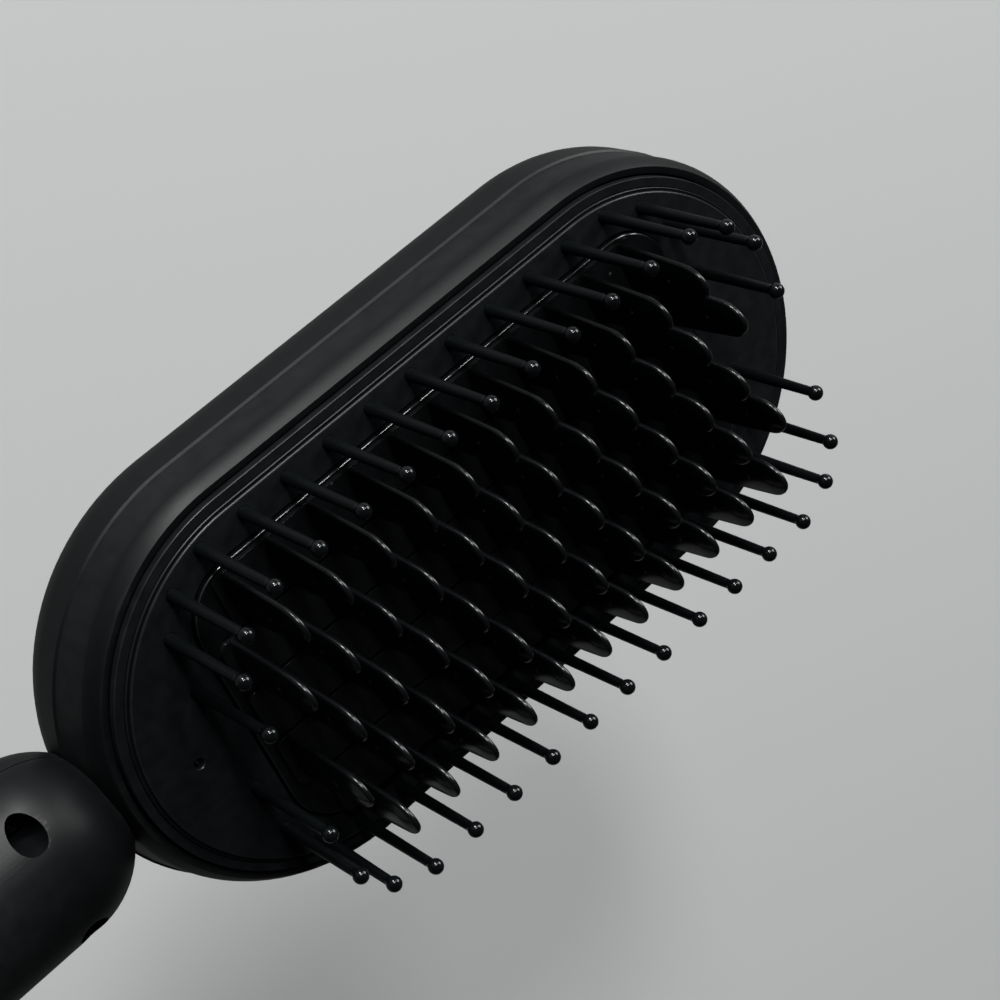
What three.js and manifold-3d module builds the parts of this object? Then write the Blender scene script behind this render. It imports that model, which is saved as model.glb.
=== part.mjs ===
// A heated styling brush that lies on its back: the head at the origin, its tip toward +X,
// the handle toward -X and the bristles up. Millimetres. The flat back of the head is z = 0.
import * as THREE from "three";
import { mergeVertices } from "three/addons/utils/BufferGeometryUtils.js";
import Module from "manifold-3d";

const wasm = await Module();
wasm.setup();

// Clearance between pieces that seat on or in each other
const gap = 0.3;

// Handle: a straight cylinder with a round nose that meets the head
const handleRadius = 14;
const handleWall = 2;
const handleLength = 134;
const noseReach = 3.35;

// Head: a stadium outline, two half circles joined by straight sides
const arcCentre = 34.4;
const seamHalfWidth = 34.95;
const coverTaper = 0.75;
const rimWidth = 2;
const backCornerRadius = 10;
const backBulge = 0.35;
const tubLean = 1.1;
const coverWall = 2.4;
const coverRise = 8.4;
const rimRounding = 1.2;

// Stepped front: frame, bristle plate and heater plate
const plateStep = 1.6;
const plateThickness = 2;
const plateEdgeWidth = 0.5;
const plateEdgeDepth = 0.45;
const frameRise = 0.8;
const frameWidth = 1.7;
const ledgeWidth = 1;
const ledgeThickness = 2.4;
const frameChamfer = 0.3;
const shelfWidth = 2.2;
const shelfThickness = 1.5;

// Heater: a rounded rectangle with a flange under the bristle plate
const heaterEndMargin = 17.2;
const heaterSideMargin = 6.5;
const heaterCornerRadius = 8.5;
const heaterRise = 0.8;
const heaterFlange = 1.8;
const flangeThickness = 1.8;
const heaterRoof = 1.6;
const pocketEndMargin = 10.1;
const pocketSideMargin = 8.4;
const pocketCorner = 2;
const elementThickness = 1.5;
const elementMargin = 2.5;
const clampThickness = 1.5;
const clampInset = 0.6;

// Blades: flat leaves in five staggered rows, each row one cast comb
const bladeEndMargin = 3.76;
const bladesInRow = 11;
const bladeRows = 5;
const bladeHeight = 19.6;
const bladeOverlap = 0.05;
const bladeHalfThickness = 1;
const combBase = 0.8;
const combSideMargin = 0.36;
const combSpacing = 0.52;
const combOverhang = 2.4;

// A blade's outline as shares of its half width and height
const bladeOutline = [[0.94, 0.45], [0.8, 0.77], [0.52, 0.94]];

// Bristle pins with ball tips, in a ring round the heater
const pinRingOffset = 3.75;
const sidePinMargin = 7.1;
const pinsPerSide = 11;
const pinRootRadius = 0.95;
const pinNeckRadius = 0.75;
const ballRadius = 1.2;
const ballHeight = 18.95;
const ballSeat = 0.96;
const ballAngles = [-30, 10, 50];
const cornerPinAngles = [49, 19];
const endPinInset = 5.2;
const stripHalfWidth = 1.2;
const stripThickness = 1.8;
const stripEndAngle = 56;
const sideStripOverhang = 1.4;

// Heater carrier and its screws
const carrierLap = 1;
const carrierThickness = 1.3;
const carrierOpeningEndMargin = 2.1;
const carrierOpeningSideMargin = 1.9;
const carrierScrewInset = 4.25;
const carrierScrewAngle = 30.5;
const bossRadius = 2.6;
const clampScrewEndMargin = 6.1;
const clampScrewSideMargin = 5.9;

// Parts that sense the heater's temperature, under the clamp plate
const fuseRadius = 1.6;
const fuseLength = 11;
const fusePlace = [16, 6];
const sensorRadius = 1.3;
const sensorPlace = [-8, -5];

// Small machine screws
const screwShankRadius = 1;
const screwHeadRadius = 1.9;
const screwHeadHeight = 1.4;
const screwBite = 3;

// Screws of the handle, in deep wells beside the head
const wellRadius = 2.45;
const wellX = 1;
const wellY = 9.65;
const wellBossRadius = 3.85;
const handleScrewHeadRadius = 2.1;
const handleScrewShankRadius = 1.2;
const wellSeatRise = 3.2;
const handleScrewBite = 6;

// Ion outlet on the handle side of the bristle plate, and its generator
const outletInset = 8.3;
const outletRadius = 0.95;
const needleRadius = 0.35;
const needlePoint = 0.7;
const emitterRadius = 2;
const generatorSize = [28, 18, 9];
const generatorX = -24;

// Neck tube between the covers and the handle shells
const neckRadius = 5;
const neckBore = 3.6;
const neckFlangeThickness = 1.8;
const neckFlangeHalfWidth = 9;
const neckTail = 2;
const leadRadius = 1.5;
const leadRun = 5;
const leadDrop = 9;

// Controls on the bristle side of the handle
const panelX = 52;
const panelLength = 66;
const panelWidth = 13;
const panelInset = 0.2;
const panelThickness = 3.6;
const panelFlange = 1.5;
const panelFlangeThickness = 1.5;
const displayX = 20;
const displaySize = [18, 8];
const displayCorner = 1.5;
const lensDepth = 1.8;
const lensLedge = 1;
const moduleSize = [15, 9, 4];
const buttonX = { temperature_up: 4, temperature_down: -10, power: -24 };
const buttonRadius = 4;
const buttonStandProud = 0.9;
const buttonEdge = 0.5;
const buttonDome = 0.1;
const buttonFlange = 0.9;
const buttonFlangeThickness = 1.2;
const buttonStemRadius = 1.5;
const buttonTravel = 0.6;

// Control board
const boardStart = 17.5;
const boardLength = 92;
const boardHalfWidth = 9;
const boardThickness = 1.6;
const boardRise = 1.4;
const boardScrewInset = 3.2;
const switchSize = [6, 6, 2.4];
const plungerRadius = 1.4;
const plungerLength = 1.4;

// End cap and the swivelling cord gland
const capLength = 10;
const capWall = 2.5;
const capRounding = 2.5;
const spigotLength = 8;
const glandRadius = 6;
const glandTipRadius = 4.4;
const glandTail = 10;
const glandStraightShare = 0.35;
const glandBore = 3.2;
const glandFlange = 2.9;
const glandFlangeThickness = 2;
const retainerThickness = 2;
const retainerBore = 5;

// Facets of round shapes, and steps of round corners and bends
const arcSteps = 12;
const handleFacets = 28;
const neckFacets = 16;
const holeFacets = 12;
const noseSteps = 5;
const buttonFacets = 14;
const smallFacets = 8;
const pinFacets = 6;
const bladeFacets = 6;
const glandFacets = 24;
const cornerSteps = 5;
const tubCornerSteps = 6;
const tubHollowSteps = 4;
const rimSteps = 4;
const lensSteps = 2;
const plainSteps = 1;
const leadSteps = 16;

// How far a cutting tool runs past a face, and how far a joined piece reaches into its base
const overrun = 1;
const rooted = 0.5;

// Widths of the head, all from the seam's, and lengths from the centres of its round ends
const shoulderHalfWidth = seamHalfWidth - coverTaper;
const rimOpening = shoulderHalfWidth - rimWidth;
const frameInner = rimOpening - gap - frameWidth;
const ledgeInner = frameInner - ledgeWidth;
const plateHalfWidth = frameInner - gap;
const shelfInner = rimOpening - shelfWidth;
const carrierHalfWidth = shelfInner + carrierLap;
const heaterHalfWidth = plateHalfWidth - heaterSideMargin;
const heaterHalfLength = arcCentre + plateHalfWidth - heaterEndMargin;
const pocketHalfLength = heaterHalfLength - pocketEndMargin;
const pocketHalfWidth = heaterHalfWidth - pocketSideMargin;
const outletX = outletInset - plateHalfWidth - arcCentre;

// Spacing of blades and side pins over the heater's length and width
const combRoom = 2 * (heaterHalfWidth - combSideMargin) - combSpacing * (bladeRows - 1);
const combHalfWidth = combRoom / bladeRows / 2;
const bladeRowPitch = 2 * combHalfWidth + combSpacing;
const bladeHalfWidth = combHalfWidth + bladeOverlap;
const bladePitch = (2 * (heaterHalfLength - bladeEndMargin)) / bladesInRow;
const pinPitch = (2 * (heaterHalfLength - sidePinMargin)) / (pinsPerSide - 1);

// Levels, all from the seam, which is the handle's axis when the brush lies on its back
const seam = handleRadius;
const rimTop = seam + coverRise;
const plateTop = rimTop + plateStep;
const plateBottom = plateTop - plateThickness;
const ledgeTop = plateBottom - gap;
const frameBottom = ledgeTop - ledgeThickness;
const shelfTop = frameBottom - gap;
const shelfBottom = shelfTop - shelfThickness;
const carrierTop = shelfBottom - gap;
const carrierBottom = carrierTop - carrierThickness;
const heaterTop = plateTop + heaterRise;
const flangeTop = plateBottom - gap;
const flangeBottom = flangeTop - flangeThickness;
const clampTop = flangeBottom - gap;
const clampBottom = clampTop - clampThickness;
const pocketTop = heaterTop - heaterRoof;
const combBottom = heaterTop + gap;
const combTop = combBottom + combBase;
const bladeTop = plateTop + bladeHeight;
const ballLevel = plateTop + ballHeight;
const stripTop = plateBottom - gap;
const stripBottom = stripTop - stripThickness;

// Stations along the handle
const headEnd = arcCentre + seamHalfWidth;
const noseX = noseReach - headEnd - handleRadius;
const handleEnd = noseX - handleLength;
const innerRadius = handleRadius - handleWall;

// A solid for joining and cutting, from a closed geometry.
function solidOf(geometry) {
  const bare = geometry.index ? geometry.toNonIndexed() : geometry.clone();
  bare.deleteAttribute("normal");
  bare.deleteAttribute("uv");
  const merged = mergeVertices(bare, 1e-4);
  const corners = merged.index.array;
  const kept = [];
  for (let i = 0; i < corners.length; i += 3) {
    const [a, b, c] = corners.subarray(i, i + 3);
    if (a !== b && b !== c && c !== a) kept.push(a, b, c);
  }
  return new wasm.Manifold(
    new wasm.Mesh({
      numProp: 3,
      vertProperties: merged.attributes.position.array,
      triVerts: new Uint32Array(kept),
    }),
  );
}

// The geometry of a joined or cut solid.
function geometryOf(solid) {
  const { numProp, numVert, vertProperties, triVerts } = solid.getMesh();
  const positions = new Float32Array(numVert * 3);
  for (let i = 0; i < numVert; i++) {
    positions.set(vertProperties.subarray(i * numProp, i * numProp + 3), i * 3);
  }
  return new THREE.BufferGeometry()
    .setAttribute("position", new THREE.BufferAttribute(positions, 3))
    .setIndex(new THREE.BufferAttribute(new Uint32Array(triVerts), 1));
}

const joined = (solids) => solids.reduce((sum, solid) => sum.add(solid));
const cut = (solid, tools) => tools.reduce((rest, tool) => rest.subtract(tool), solid);

// A section of [half width, height] points carried round a stadium. It closes on itself, or
// starts and ends on the middle line. A third value shifts a point toward the handle.
function stadium(section, halfSpacing = arcCentre) {
  const stations = [1, -1].flatMap((side) =>
    Array.from({ length: arcSteps + 1 }, (_, i) => {
      const angle = Math.PI * (i / arcSteps - side / 2);
      return [side * halfSpacing, Math.cos(angle), Math.sin(angle)];
    }),
  );
  const points = stations.flatMap(([x, c, s]) =>
    section.flatMap(([w, z, shift = 0]) => [x + w * c - shift, w * s, z]),
  );
  const count = section.length;
  const solidToMiddle = section[0][0] === 0;
  const faces = [];
  stations.forEach((_, i) => {
    const next = (i + 1) % stations.length;
    for (let j = 0; j < (solidToMiddle ? count - 1 : count); j++) {
      const k = (j + 1) % count;
      const [a, b] = [i * count + j, i * count + k];
      const [d, c] = [next * count + j, next * count + k];
      faces.push(a, d, c, a, c, b);
    }
  });
  return solidOf(
    new THREE.BufferGeometry()
      .setAttribute("position", new THREE.Float32BufferAttribute(points, 3))
      .setIndex(faces),
  );
}

// Points of a round corner in a section, from one angle to another in degrees.
function roundCorner(width, height, radius, from, to, steps) {
  return Array.from({ length: steps + 1 }, (_, i) => {
    const angle = THREE.MathUtils.degToRad(from + ((to - from) * i) / steps);
    return [width + radius * Math.cos(angle), height + radius * Math.sin(angle)];
  });
}

// An upright body of revolution from [radius, height] points, at x and y.
function upright(profile, facets, x = 0, y = 0) {
  const outline = profile.map(([radius, height]) => new THREE.Vector2(radius, height));
  return solidOf(new THREE.LatheGeometry(outline, facets).rotateX(Math.PI / 2).translate(x, y, 0));
}

// A body of revolution about the handle's axis, from [radius, x] points.
function alongHandle(profile, facets = handleFacets) {
  const outline = profile.map(([radius, x]) => new THREE.Vector2(radius, x));
  return solidOf(new THREE.LatheGeometry(outline, facets).rotateZ(-Math.PI / 2).translate(0, 0, seam));
}

const cylinder = (radius, bottom, top, x, y, facets = smallFacets) =>
  upright([[0, bottom], [radius, bottom], [radius, top], [0, top]], facets, x, y);

// A cylinder about the handle's axis from one x to a higher one.
const rod = (radius, start, end, facets = neckFacets) =>
  alongHandle([[0, start], [radius, start], [radius, end], [0, end]], facets);

function box(lowX, highX, lowY, highY, lowZ, highZ) {
  const block = new THREE.BoxGeometry(highX - lowX, highY - lowY, highZ - lowZ);
  return solidOf(block.translate((lowX + highX) / 2, (lowY + highY) / 2, (lowZ + highZ) / 2));
}

function roundedRectangle(halfLength, halfWidth, radius) {
  const shape = new THREE.Shape();
  shape.absarc(halfLength - radius, halfWidth - radius, radius, 0, Math.PI / 2);
  shape.absarc(radius - halfLength, halfWidth - radius, radius, Math.PI / 2, Math.PI);
  shape.absarc(radius - halfLength, radius - halfWidth, radius, Math.PI, Math.PI * 1.5);
  shape.absarc(halfLength - radius, radius - halfWidth, radius, Math.PI * 1.5, Math.PI * 2);
  return shape;
}

// A flat shape raised from one level to another.
function slab(shape, bottom, top, x = 0, steps = cornerSteps) {
  const options = { depth: top - bottom, bevelEnabled: false, curveSegments: steps };
  return solidOf(new THREE.ExtrudeGeometry(shape, options).translate(x, 0, bottom));
}

const group = new THREE.Group();

// Adds one named piece with its material.
function addPiece(name, solid, [color, roughness, metalness]) {
  const material = new THREE.MeshStandardMaterial({ color, roughness, metalness, flatShading: true });
  const mesh = new THREE.Mesh(geometryOf(solid), material);
  mesh.name = name;
  group.add(mesh);
}

const softBlack = [0x1b1c1e, 0.62, 0];
const matteBlack = [0x151618, 0.7, 0];
const glossBlack = [0x060607, 0.18, 0];
const nylonBlack = [0x101012, 0.35, 0];
const bareAluminium = [0xb4b6b8, 0.4, 1];
const bareSteel = [0x9a9da1, 0.35, 1];
const ceramicWhite = [0xd9d6ce, 0.5, 0];
const micaTan = [0xb59a6b, 0.6, 0];
const boardGreen = [0x1f5a35, 0.5, 0];
const rubberBlack = [0x121213, 0.85, 0];

// Head covers. The tub sits a little toward the handle, and the front cover's wall leans to meet it.
const leaning = (section) => section.map(([width, height]) => [width, height, tubLean]);

// Everything inside the head's outer skin, grown by a clearance.
function headEnvelope(grow) {
  const cornerWidth = seamHalfWidth - backBulge - backCornerRadius;
  return stadium([
    ...leaning([
      [0, -grow],
      [cornerWidth, -grow],
      ...roundCorner(cornerWidth, backCornerRadius, backCornerRadius + grow, -75, 0, cornerSteps),
      [seamHalfWidth + grow, seam],
    ]),
    [shoulderHalfWidth + grow, rimTop - rimRounding],
    [shoulderHalfWidth - rimRounding + grow, rimTop + grow],
    [0, rimTop + grow],
  ]);
}

// The round hole for the neck tube through the handle-side wall of the head.
const neckHole = () => rod(neckRadius + gap, -headEnd - tubLean - overrun, -arcCentre);

function backCover() {
  const cornerWidth = seamHalfWidth - backBulge - backCornerRadius;
  const top = seam - gap / 2;
  const tub = stadium([
    [0, 0],
    ...roundCorner(cornerWidth, backCornerRadius, backCornerRadius, -90, 0, tubCornerSteps),
    [seamHalfWidth, top],
    [seamHalfWidth - coverWall, top],
    ...roundCorner(cornerWidth, backCornerRadius, backCornerRadius - coverWall, 0, -90, tubHollowSteps),
    [0, coverWall],
  ]).translate([-tubLean, 0, 0]);
  return cut(tub, [neckHole()]);
}

// Room for the neck tube's flange and end inside the head.
function neckFlangeRoom() {
  return box(
    -(arcCentre + rimOpening),
    neckFlangeX() + neckFlangeThickness + neckTail + gap,
    -neckFlangeHalfWidth - gap,
    neckFlangeHalfWidth + gap,
    seam - neckRadius - gap,
    frameBottom,
  );
}

function frontCover() {
  const bottom = seam + gap / 2;
  const innerWall = seamHalfWidth - coverWall;
  const roundingCentre = rimTop - rimRounding;
  const ring = stadium([
    ...leaning([[innerWall, bottom], [seamHalfWidth, bottom]]),
    ...roundCorner(shoulderHalfWidth - rimRounding, roundingCentre, rimRounding, 0, 90, rimSteps),
    [rimOpening, rimTop],
    [rimOpening, shelfTop],
    [shelfInner, shelfTop],
    [shelfInner, shelfBottom],
    [rimOpening, shelfBottom],
  ]);
  const inside = stadium([[0, 0], [rimOpening, 0], [rimOpening, rimTop], [0, rimTop]]);
  return cut(ring, [neckHole(), neckFlangeRoom().intersect(inside)]);
}

function frontFrame() {
  const outer = rimOpening - gap;
  const top = rimTop + frameRise;
  return stadium([
    [ledgeInner, frameBottom],
    [outer, frameBottom],
    [outer, top - frameChamfer],
    [outer - frameChamfer, top],
    [frameInner, top],
    [frameInner, ledgeTop],
    [ledgeInner, ledgeTop],
  ]);
}

// Ring of bristle pins

const pinRingRadius = heaterCornerRadius + pinRingOffset;
const cornerX = heaterHalfLength - heaterCornerRadius;
const cornerY = heaterHalfWidth - heaterCornerRadius;

// The point of the pin ring at one x beside the heater, on the side of positive y.
function ringY(x) {
  const past = Math.max(0, Math.abs(x) - cornerX);
  return cornerY + Math.sqrt(pinRingRadius ** 2 - past ** 2);
}

const sidePinXs = Array.from({ length: pinsPerSide }, (_, i) => (i - (pinsPerSide - 1) / 2) * pinPitch);
const sidePins = sidePinXs.map((x) => [x, ringY(x)]);
const endPins = [
  ...cornerPinAngles.map((degrees) => {
    const angle = THREE.MathUtils.degToRad(degrees);
    return [cornerX + pinRingRadius * Math.cos(angle), cornerY + pinRingRadius * Math.sin(angle)];
  }),
  [cornerX + pinRingRadius, cornerY - endPinInset],
].flatMap(([x, y]) => [[x, y], [x, -y]]);

function pin(x, y, bottom) {
  const neck = ballLevel - ballSeat;
  const ball = ballAngles.map((degrees) => {
    const angle = THREE.MathUtils.degToRad(degrees);
    return [ballRadius * Math.cos(angle), ballLevel + ballRadius * Math.sin(angle)];
  });
  const shaft = [[0, bottom], [pinRootRadius, bottom], [pinNeckRadius, neck]];
  return upright([...shaft, ...ball, [0, ballLevel + ballRadius]], pinFacets, x, y);
}

// A strip between two offsets of the ring round one corner, from an angle to the end line.
function endStripShape() {
  const angle = THREE.MathUtils.degToRad(stripEndAngle);
  const outer = pinRingRadius + stripHalfWidth;
  const inner = pinRingRadius - stripHalfWidth;
  const shape = new THREE.Shape();
  shape.absarc(cornerX, -cornerY, outer, -angle, 0, false);
  shape.absarc(cornerX, cornerY, outer, 0, angle, false);
  shape.absarc(cornerX, cornerY, inner, angle, 0, true);
  shape.absarc(cornerX, -cornerY, inner, 0, -angle, true);
  return shape;
}

function sideStripShape() {
  const reach = sidePinXs.at(-1) + sideStripOverhang;
  const shape = new THREE.Shape();
  const stations = [-reach, -cornerX, cornerX, reach];
  const edge = (offset, xs) => xs.map((x) => new THREE.Vector2(x, ringY(x) + offset));
  shape.setFromPoints([...edge(-stripHalfWidth, stations), ...edge(stripHalfWidth, stations.toReversed())]);
  return shape;
}

// One moulded strip with its pins, on the side or end of positive y or x, turned to face another.
function bristleStrip(shape, pins, turn) {
  const root = stripBottom + stripThickness / 2;
  const strip = joined([slab(shape, stripBottom, stripTop), ...pins.map(([x, y]) => pin(x, y, root))]);
  return strip.rotate([0, 0, turn]);
}

function bristlePlate() {
  const disc = stadium([
    [0, plateBottom],
    [plateHalfWidth, plateBottom],
    [plateHalfWidth, plateTop - plateEdgeDepth],
    [plateHalfWidth - plateEdgeWidth, plateTop - plateEdgeDepth],
    [plateHalfWidth - plateEdgeWidth, plateTop],
    [0, plateTop],
  ]);
  const opening = slab(heaterOutline(gap), plateBottom - overrun, plateTop + overrun);
  const bosses = carrierScrewPlaces.map(([x, y]) =>
    cylinder(bossRadius, carrierTop + gap, plateBottom + rooted, x, y),
  );
  const pilots = carrierScrewPlaces.map(([x, y]) =>
    cylinder(screwShankRadius + gap, carrierTop, carrierTop + gap + screwBite + gap, x, y),
  );
  const farSidePins = sidePins.map(([x, y]) => [x, -y]);
  const heelPins = endPins.map(([x, y]) => [-x, y]);
  const [holeBottom, holeTop] = [plateBottom - overrun, plateTop + overrun];
  const holes = [...sidePins, ...farSidePins, ...endPins, ...heelPins].map(([x, y]) =>
    cylinder(pinRootRadius + gap, holeBottom, holeTop, x, y, pinFacets),
  );
  const outlet = cylinder(outletRadius, holeBottom, holeTop, outletX, 0, holeFacets);
  return cut(joined([disc, ...bosses]), [opening, outlet, ...pilots, ...holes]);
}

// Heater

const fourWays = (x, y) => [[x, y], [-x, y], [-x, -y], [x, -y]];
const clampScrewPlaces = fourWays(
  heaterHalfLength - clampScrewEndMargin,
  heaterHalfWidth - clampScrewSideMargin,
);
const carrierScrewTurn = THREE.MathUtils.degToRad(carrierScrewAngle);
const carrierScrewPlaces = fourWays(
  arcCentre + (plateHalfWidth - carrierScrewInset) * Math.cos(carrierScrewTurn),
  (plateHalfWidth - carrierScrewInset) * Math.sin(carrierScrewTurn),
);

// The heater plate's outline, grown by an offset.
const heaterOutline = (grow) =>
  roundedRectangle(heaterHalfLength + grow, heaterHalfWidth + grow, heaterCornerRadius + grow);

function heaterPlate() {
  const body = slab(heaterOutline(0), flangeBottom, heaterTop);
  const flange = slab(heaterOutline(heaterFlange), flangeBottom, flangeTop);
  const pocketShape = roundedRectangle(pocketHalfLength, pocketHalfWidth, pocketCorner);
  const pocket = slab(pocketShape, flangeBottom - overrun, pocketTop, 0, plainSteps);
  const pilots = clampScrewPlaces.map(([x, y]) =>
    cylinder(screwShankRadius + gap, flangeBottom - overrun, flangeBottom + screwBite, x, y),
  );
  return cut(joined([body, flange]), [pocket, ...pilots]);
}

function blade(x) {
  const profile = [
    [0, combBottom + combBase / 2],
    [bladeHalfWidth, combBottom + combBase / 2],
    ...bladeOutline.map(([width, height]) => [bladeHalfWidth * width, plateTop + bladeHeight * height]),
    [0, bladeTop],
  ];
  const outline = profile.map(([width, height]) => new THREE.Vector2(width, height));
  const leaf = new THREE.LatheGeometry(outline, bladeFacets, Math.PI / 2).rotateX(Math.PI / 2);
  const flatness = bladeHalfThickness / (bladeHalfWidth * Math.cos(Math.PI / bladeFacets));
  return leaf.rotateZ(Math.PI / 2).scale(flatness, 1, 1).translate(x, 0, 0);
}

// One cast comb: a thin base along x with a row of blades that stand across it.
function bladeComb(row) {
  const staggered = Math.abs(row) % 2 === 1;
  const count = staggered ? bladesInRow + 1 : bladesInRow;
  const reach = (bladePitch * (bladesInRow - 1)) / 2 + bladePitch / 2 + combOverhang;
  const cornerTrim = Math.abs(row) === 2 ? bladePitch / 2 : 0;
  const length = reach - cornerTrim;
  const base = box(-length, length, -combHalfWidth, combHalfWidth, combBottom, combTop);
  const bladeXs = Array.from({ length: count }, (_, i) => (i - (count - 1) / 2) * bladePitch);
  return joined([base, ...bladeXs.map((x) => solidOf(blade(x)))]).translate([0, row * bladeRowPitch, 0]);
}

function clampPlate() {
  const holes = clampScrewPlaces.map(([x, y]) =>
    cylinder(screwShankRadius + gap, clampBottom - overrun, clampTop + overrun, x, y),
  );
  return cut(slab(heaterOutline(-clampInset), clampBottom, clampTop), holes);
}

const elementTop = pocketTop - gap;
const elementBottom = elementTop - elementThickness;

function heatingElement() {
  const [length, width] = [pocketHalfLength - elementMargin, pocketHalfWidth - elementMargin];
  return slab(roundedRectangle(length, width, pocketCorner), elementBottom, elementTop, 0, plainSteps);
}

function insulationSheet() {
  const [length, width] = [pocketHalfLength - 2 * gap, pocketHalfWidth - 2 * gap];
  const shape = roundedRectangle(length, width, pocketCorner);
  return slab(shape, clampTop + gap, elementBottom - gap, 0, plainSteps);
}

// A screw that is driven upward, with its head's top at one level.
function screwUp(x, y, headTop, bite) {
  return upright(
    [
      [0, headTop - screwHeadHeight],
      [screwHeadRadius, headTop - screwHeadHeight],
      [screwHeadRadius, headTop],
      [screwShankRadius, headTop],
      [screwShankRadius, headTop + bite],
      [0, headTop + bite],
    ],
    smallFacets,
    x,
    y,
  );
}

// A screw that is driven downward, with the underside of its head at one level.
function screwDown(x, y, headBottom, bite, shankRadius, headRadius) {
  return upright(
    [
      [0, headBottom - bite],
      [shankRadius, headBottom - bite],
      [shankRadius, headBottom],
      [headRadius, headBottom],
      [headRadius, headBottom + screwHeadHeight],
      [0, headBottom + screwHeadHeight],
    ],
    smallFacets,
    x,
    y,
  );
}

function heaterCarrier() {
  const flange = stadium([
    [0, carrierBottom],
    [carrierHalfWidth, carrierBottom],
    [carrierHalfWidth, carrierTop],
    [0, carrierTop],
  ]);
  const ribTop = stripBottom - gap;
  const rib = slab(heaterOutline(pinRingOffset + stripHalfWidth), carrierTop - rooted, ribTop);
  const ribRoom = slab(heaterOutline(gap), carrierTop, ribTop + overrun);
  const openingHalfLength = heaterHalfLength - carrierOpeningEndMargin;
  const openingHalfWidth = heaterHalfWidth - carrierOpeningSideMargin;
  const opening = slab(
    roundedRectangle(openingHalfLength, openingHalfWidth, heaterCornerRadius),
    carrierBottom - overrun,
    ribTop + overrun,
  );
  const holes = carrierScrewPlaces.map(([x, y]) =>
    cylinder(screwShankRadius + gap, carrierBottom - overrun, carrierTop + overrun, x, y),
  );
  return cut(joined([flange, rib]), [opening, ribRoom, ...holes, neckFlangeRoom()]);
}

function thermalFuse() {
  const fuse = new THREE.CylinderGeometry(fuseRadius, fuseRadius, fuseLength, smallFacets);
  return solidOf(fuse.rotateZ(Math.PI / 2).translate(...fusePlace, clampBottom - gap - fuseRadius));
}

function temperatureSensor() {
  const bead = new THREE.SphereGeometry(sensorRadius, smallFacets, smallFacets);
  return solidOf(bead.translate(...sensorPlace, clampBottom - gap - sensorRadius));
}

// A needle on a round foot under the ion outlet.
function ionEmitter() {
  const foot = plateBottom - gap;
  return upright(
    [
      [0, carrierTop + gap],
      [emitterRadius, carrierTop + gap],
      [emitterRadius, foot],
      [needleRadius, foot],
      [needleRadius, plateTop - gap - needlePoint],
      [0, plateTop - gap],
    ],
    smallFacets,
    outletX,
    0,
  );
}

function ionGenerator() {
  const [length, width, height] = generatorSize;
  const floor = coverWall + gap;
  return box(generatorX - length / 2, generatorX + length / 2, -width / 2, width / 2, floor, floor + height);
}

// Neck

// The flange's face toward the handle, clear of the curved wall at the flange's corners.
function neckFlangeX() {
  return gap - arcCentre - Math.sqrt(rimOpening ** 2 - neckFlangeHalfWidth ** 2);
}

// The face of the neck's flange inside the handle's nose.
const noseFlangeX = noseX + Math.sqrt(innerRadius ** 2 - neckFlangeHalfWidth ** 2) - gap;

function neckTube() {
  const start = noseFlangeX - neckFlangeThickness - neckTail;
  const end = neckFlangeX() + neckFlangeThickness + neckTail;
  const tube = rod(neckRadius, start, end);
  const headFlange = box(
    neckFlangeX(),
    neckFlangeX() + neckFlangeThickness,
    -neckFlangeHalfWidth,
    neckFlangeHalfWidth,
    seam - neckRadius,
    frameBottom - gap,
  );
  const noseFlange = rod(neckFlangeHalfWidth, noseFlangeX - neckFlangeThickness, noseFlangeX);
  const bore = rod(neckBore, start - overrun, end + overrun);
  return cut(joined([tube, headFlange, noseFlange]), [bore]);
}

// Wires from the control board through the neck to the ion generator and the heater.
function leadBundle() {
  const [length, , height] = generatorSize;
  const generatorEnd = generatorX - length / 2 - gap;
  const dip = coverWall + gap + height / 2;
  const route = new THREE.CatmullRomCurve3([
    new THREE.Vector3(noseX - boardStart + gap, 0, seam),
    new THREE.Vector3(noseX, 0, seam),
    new THREE.Vector3(-headEnd, 0, seam),
    new THREE.Vector3(neckFlangeX() + leadRun, 0, seam),
    new THREE.Vector3(generatorEnd - leadDrop, 0, dip),
    new THREE.Vector3(generatorEnd, 0, dip),
  ]);
  const shape = new THREE.Shape().absarc(0, 0, leadRadius, 0, Math.PI * 2);
  const options = { extrudePath: route, steps: leadSteps, curveSegments: smallFacets / 2 };
  return solidOf(new THREE.ExtrudeGeometry(shape, options));
}

// Handle shells

// A capsule about the handle's axis with a round nose and a flat rear end.
function capsule(radius, rear) {
  const nose = roundCorner(0, 0, radius, 90, 0, noseSteps).map(([w, h]) => [h, noseX + w]);
  return alongHandle([[0, rear], [radius, rear], ...nose.slice(0, -1), [0, noseX + radius]]);
}

const wellPlaces = [wellY, -wellY].map((y) => [noseX - wellX, y]);

// All of the handle's room below or above one level.
const handleRoom = (low, high) =>
  box(handleEnd - handleRadius, 0, -2 * handleRadius, 2 * handleRadius, low, high);
const below = (level) => handleRoom(-handleRadius, level);
const above = (level) => handleRoom(level, 3 * handleRadius);

function shellBlank() {
  const skin = capsule(handleRadius, handleEnd);
  const hollow = capsule(innerRadius, handleEnd - overrun);
  const bosses = wellPlaces.map(([x, y]) =>
    cylinder(wellBossRadius, 0, 2 * seam, x, y, holeFacets).intersect(skin),
  );
  const neckRoom = rod(neckRadius + gap, noseX, noseX + handleRadius);
  return cut(joined([cut(skin, [hollow]), ...bosses]), [neckRoom, headEnvelope(gap)]);
}

const panelCentre = noseX - panelX;
const panelOutline = (grow) =>
  roundedRectangle(panelLength / 2 + grow, panelWidth / 2 + grow, panelWidth / 2 + grow);
const panelTop = seam + handleRadius - panelInset;

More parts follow.
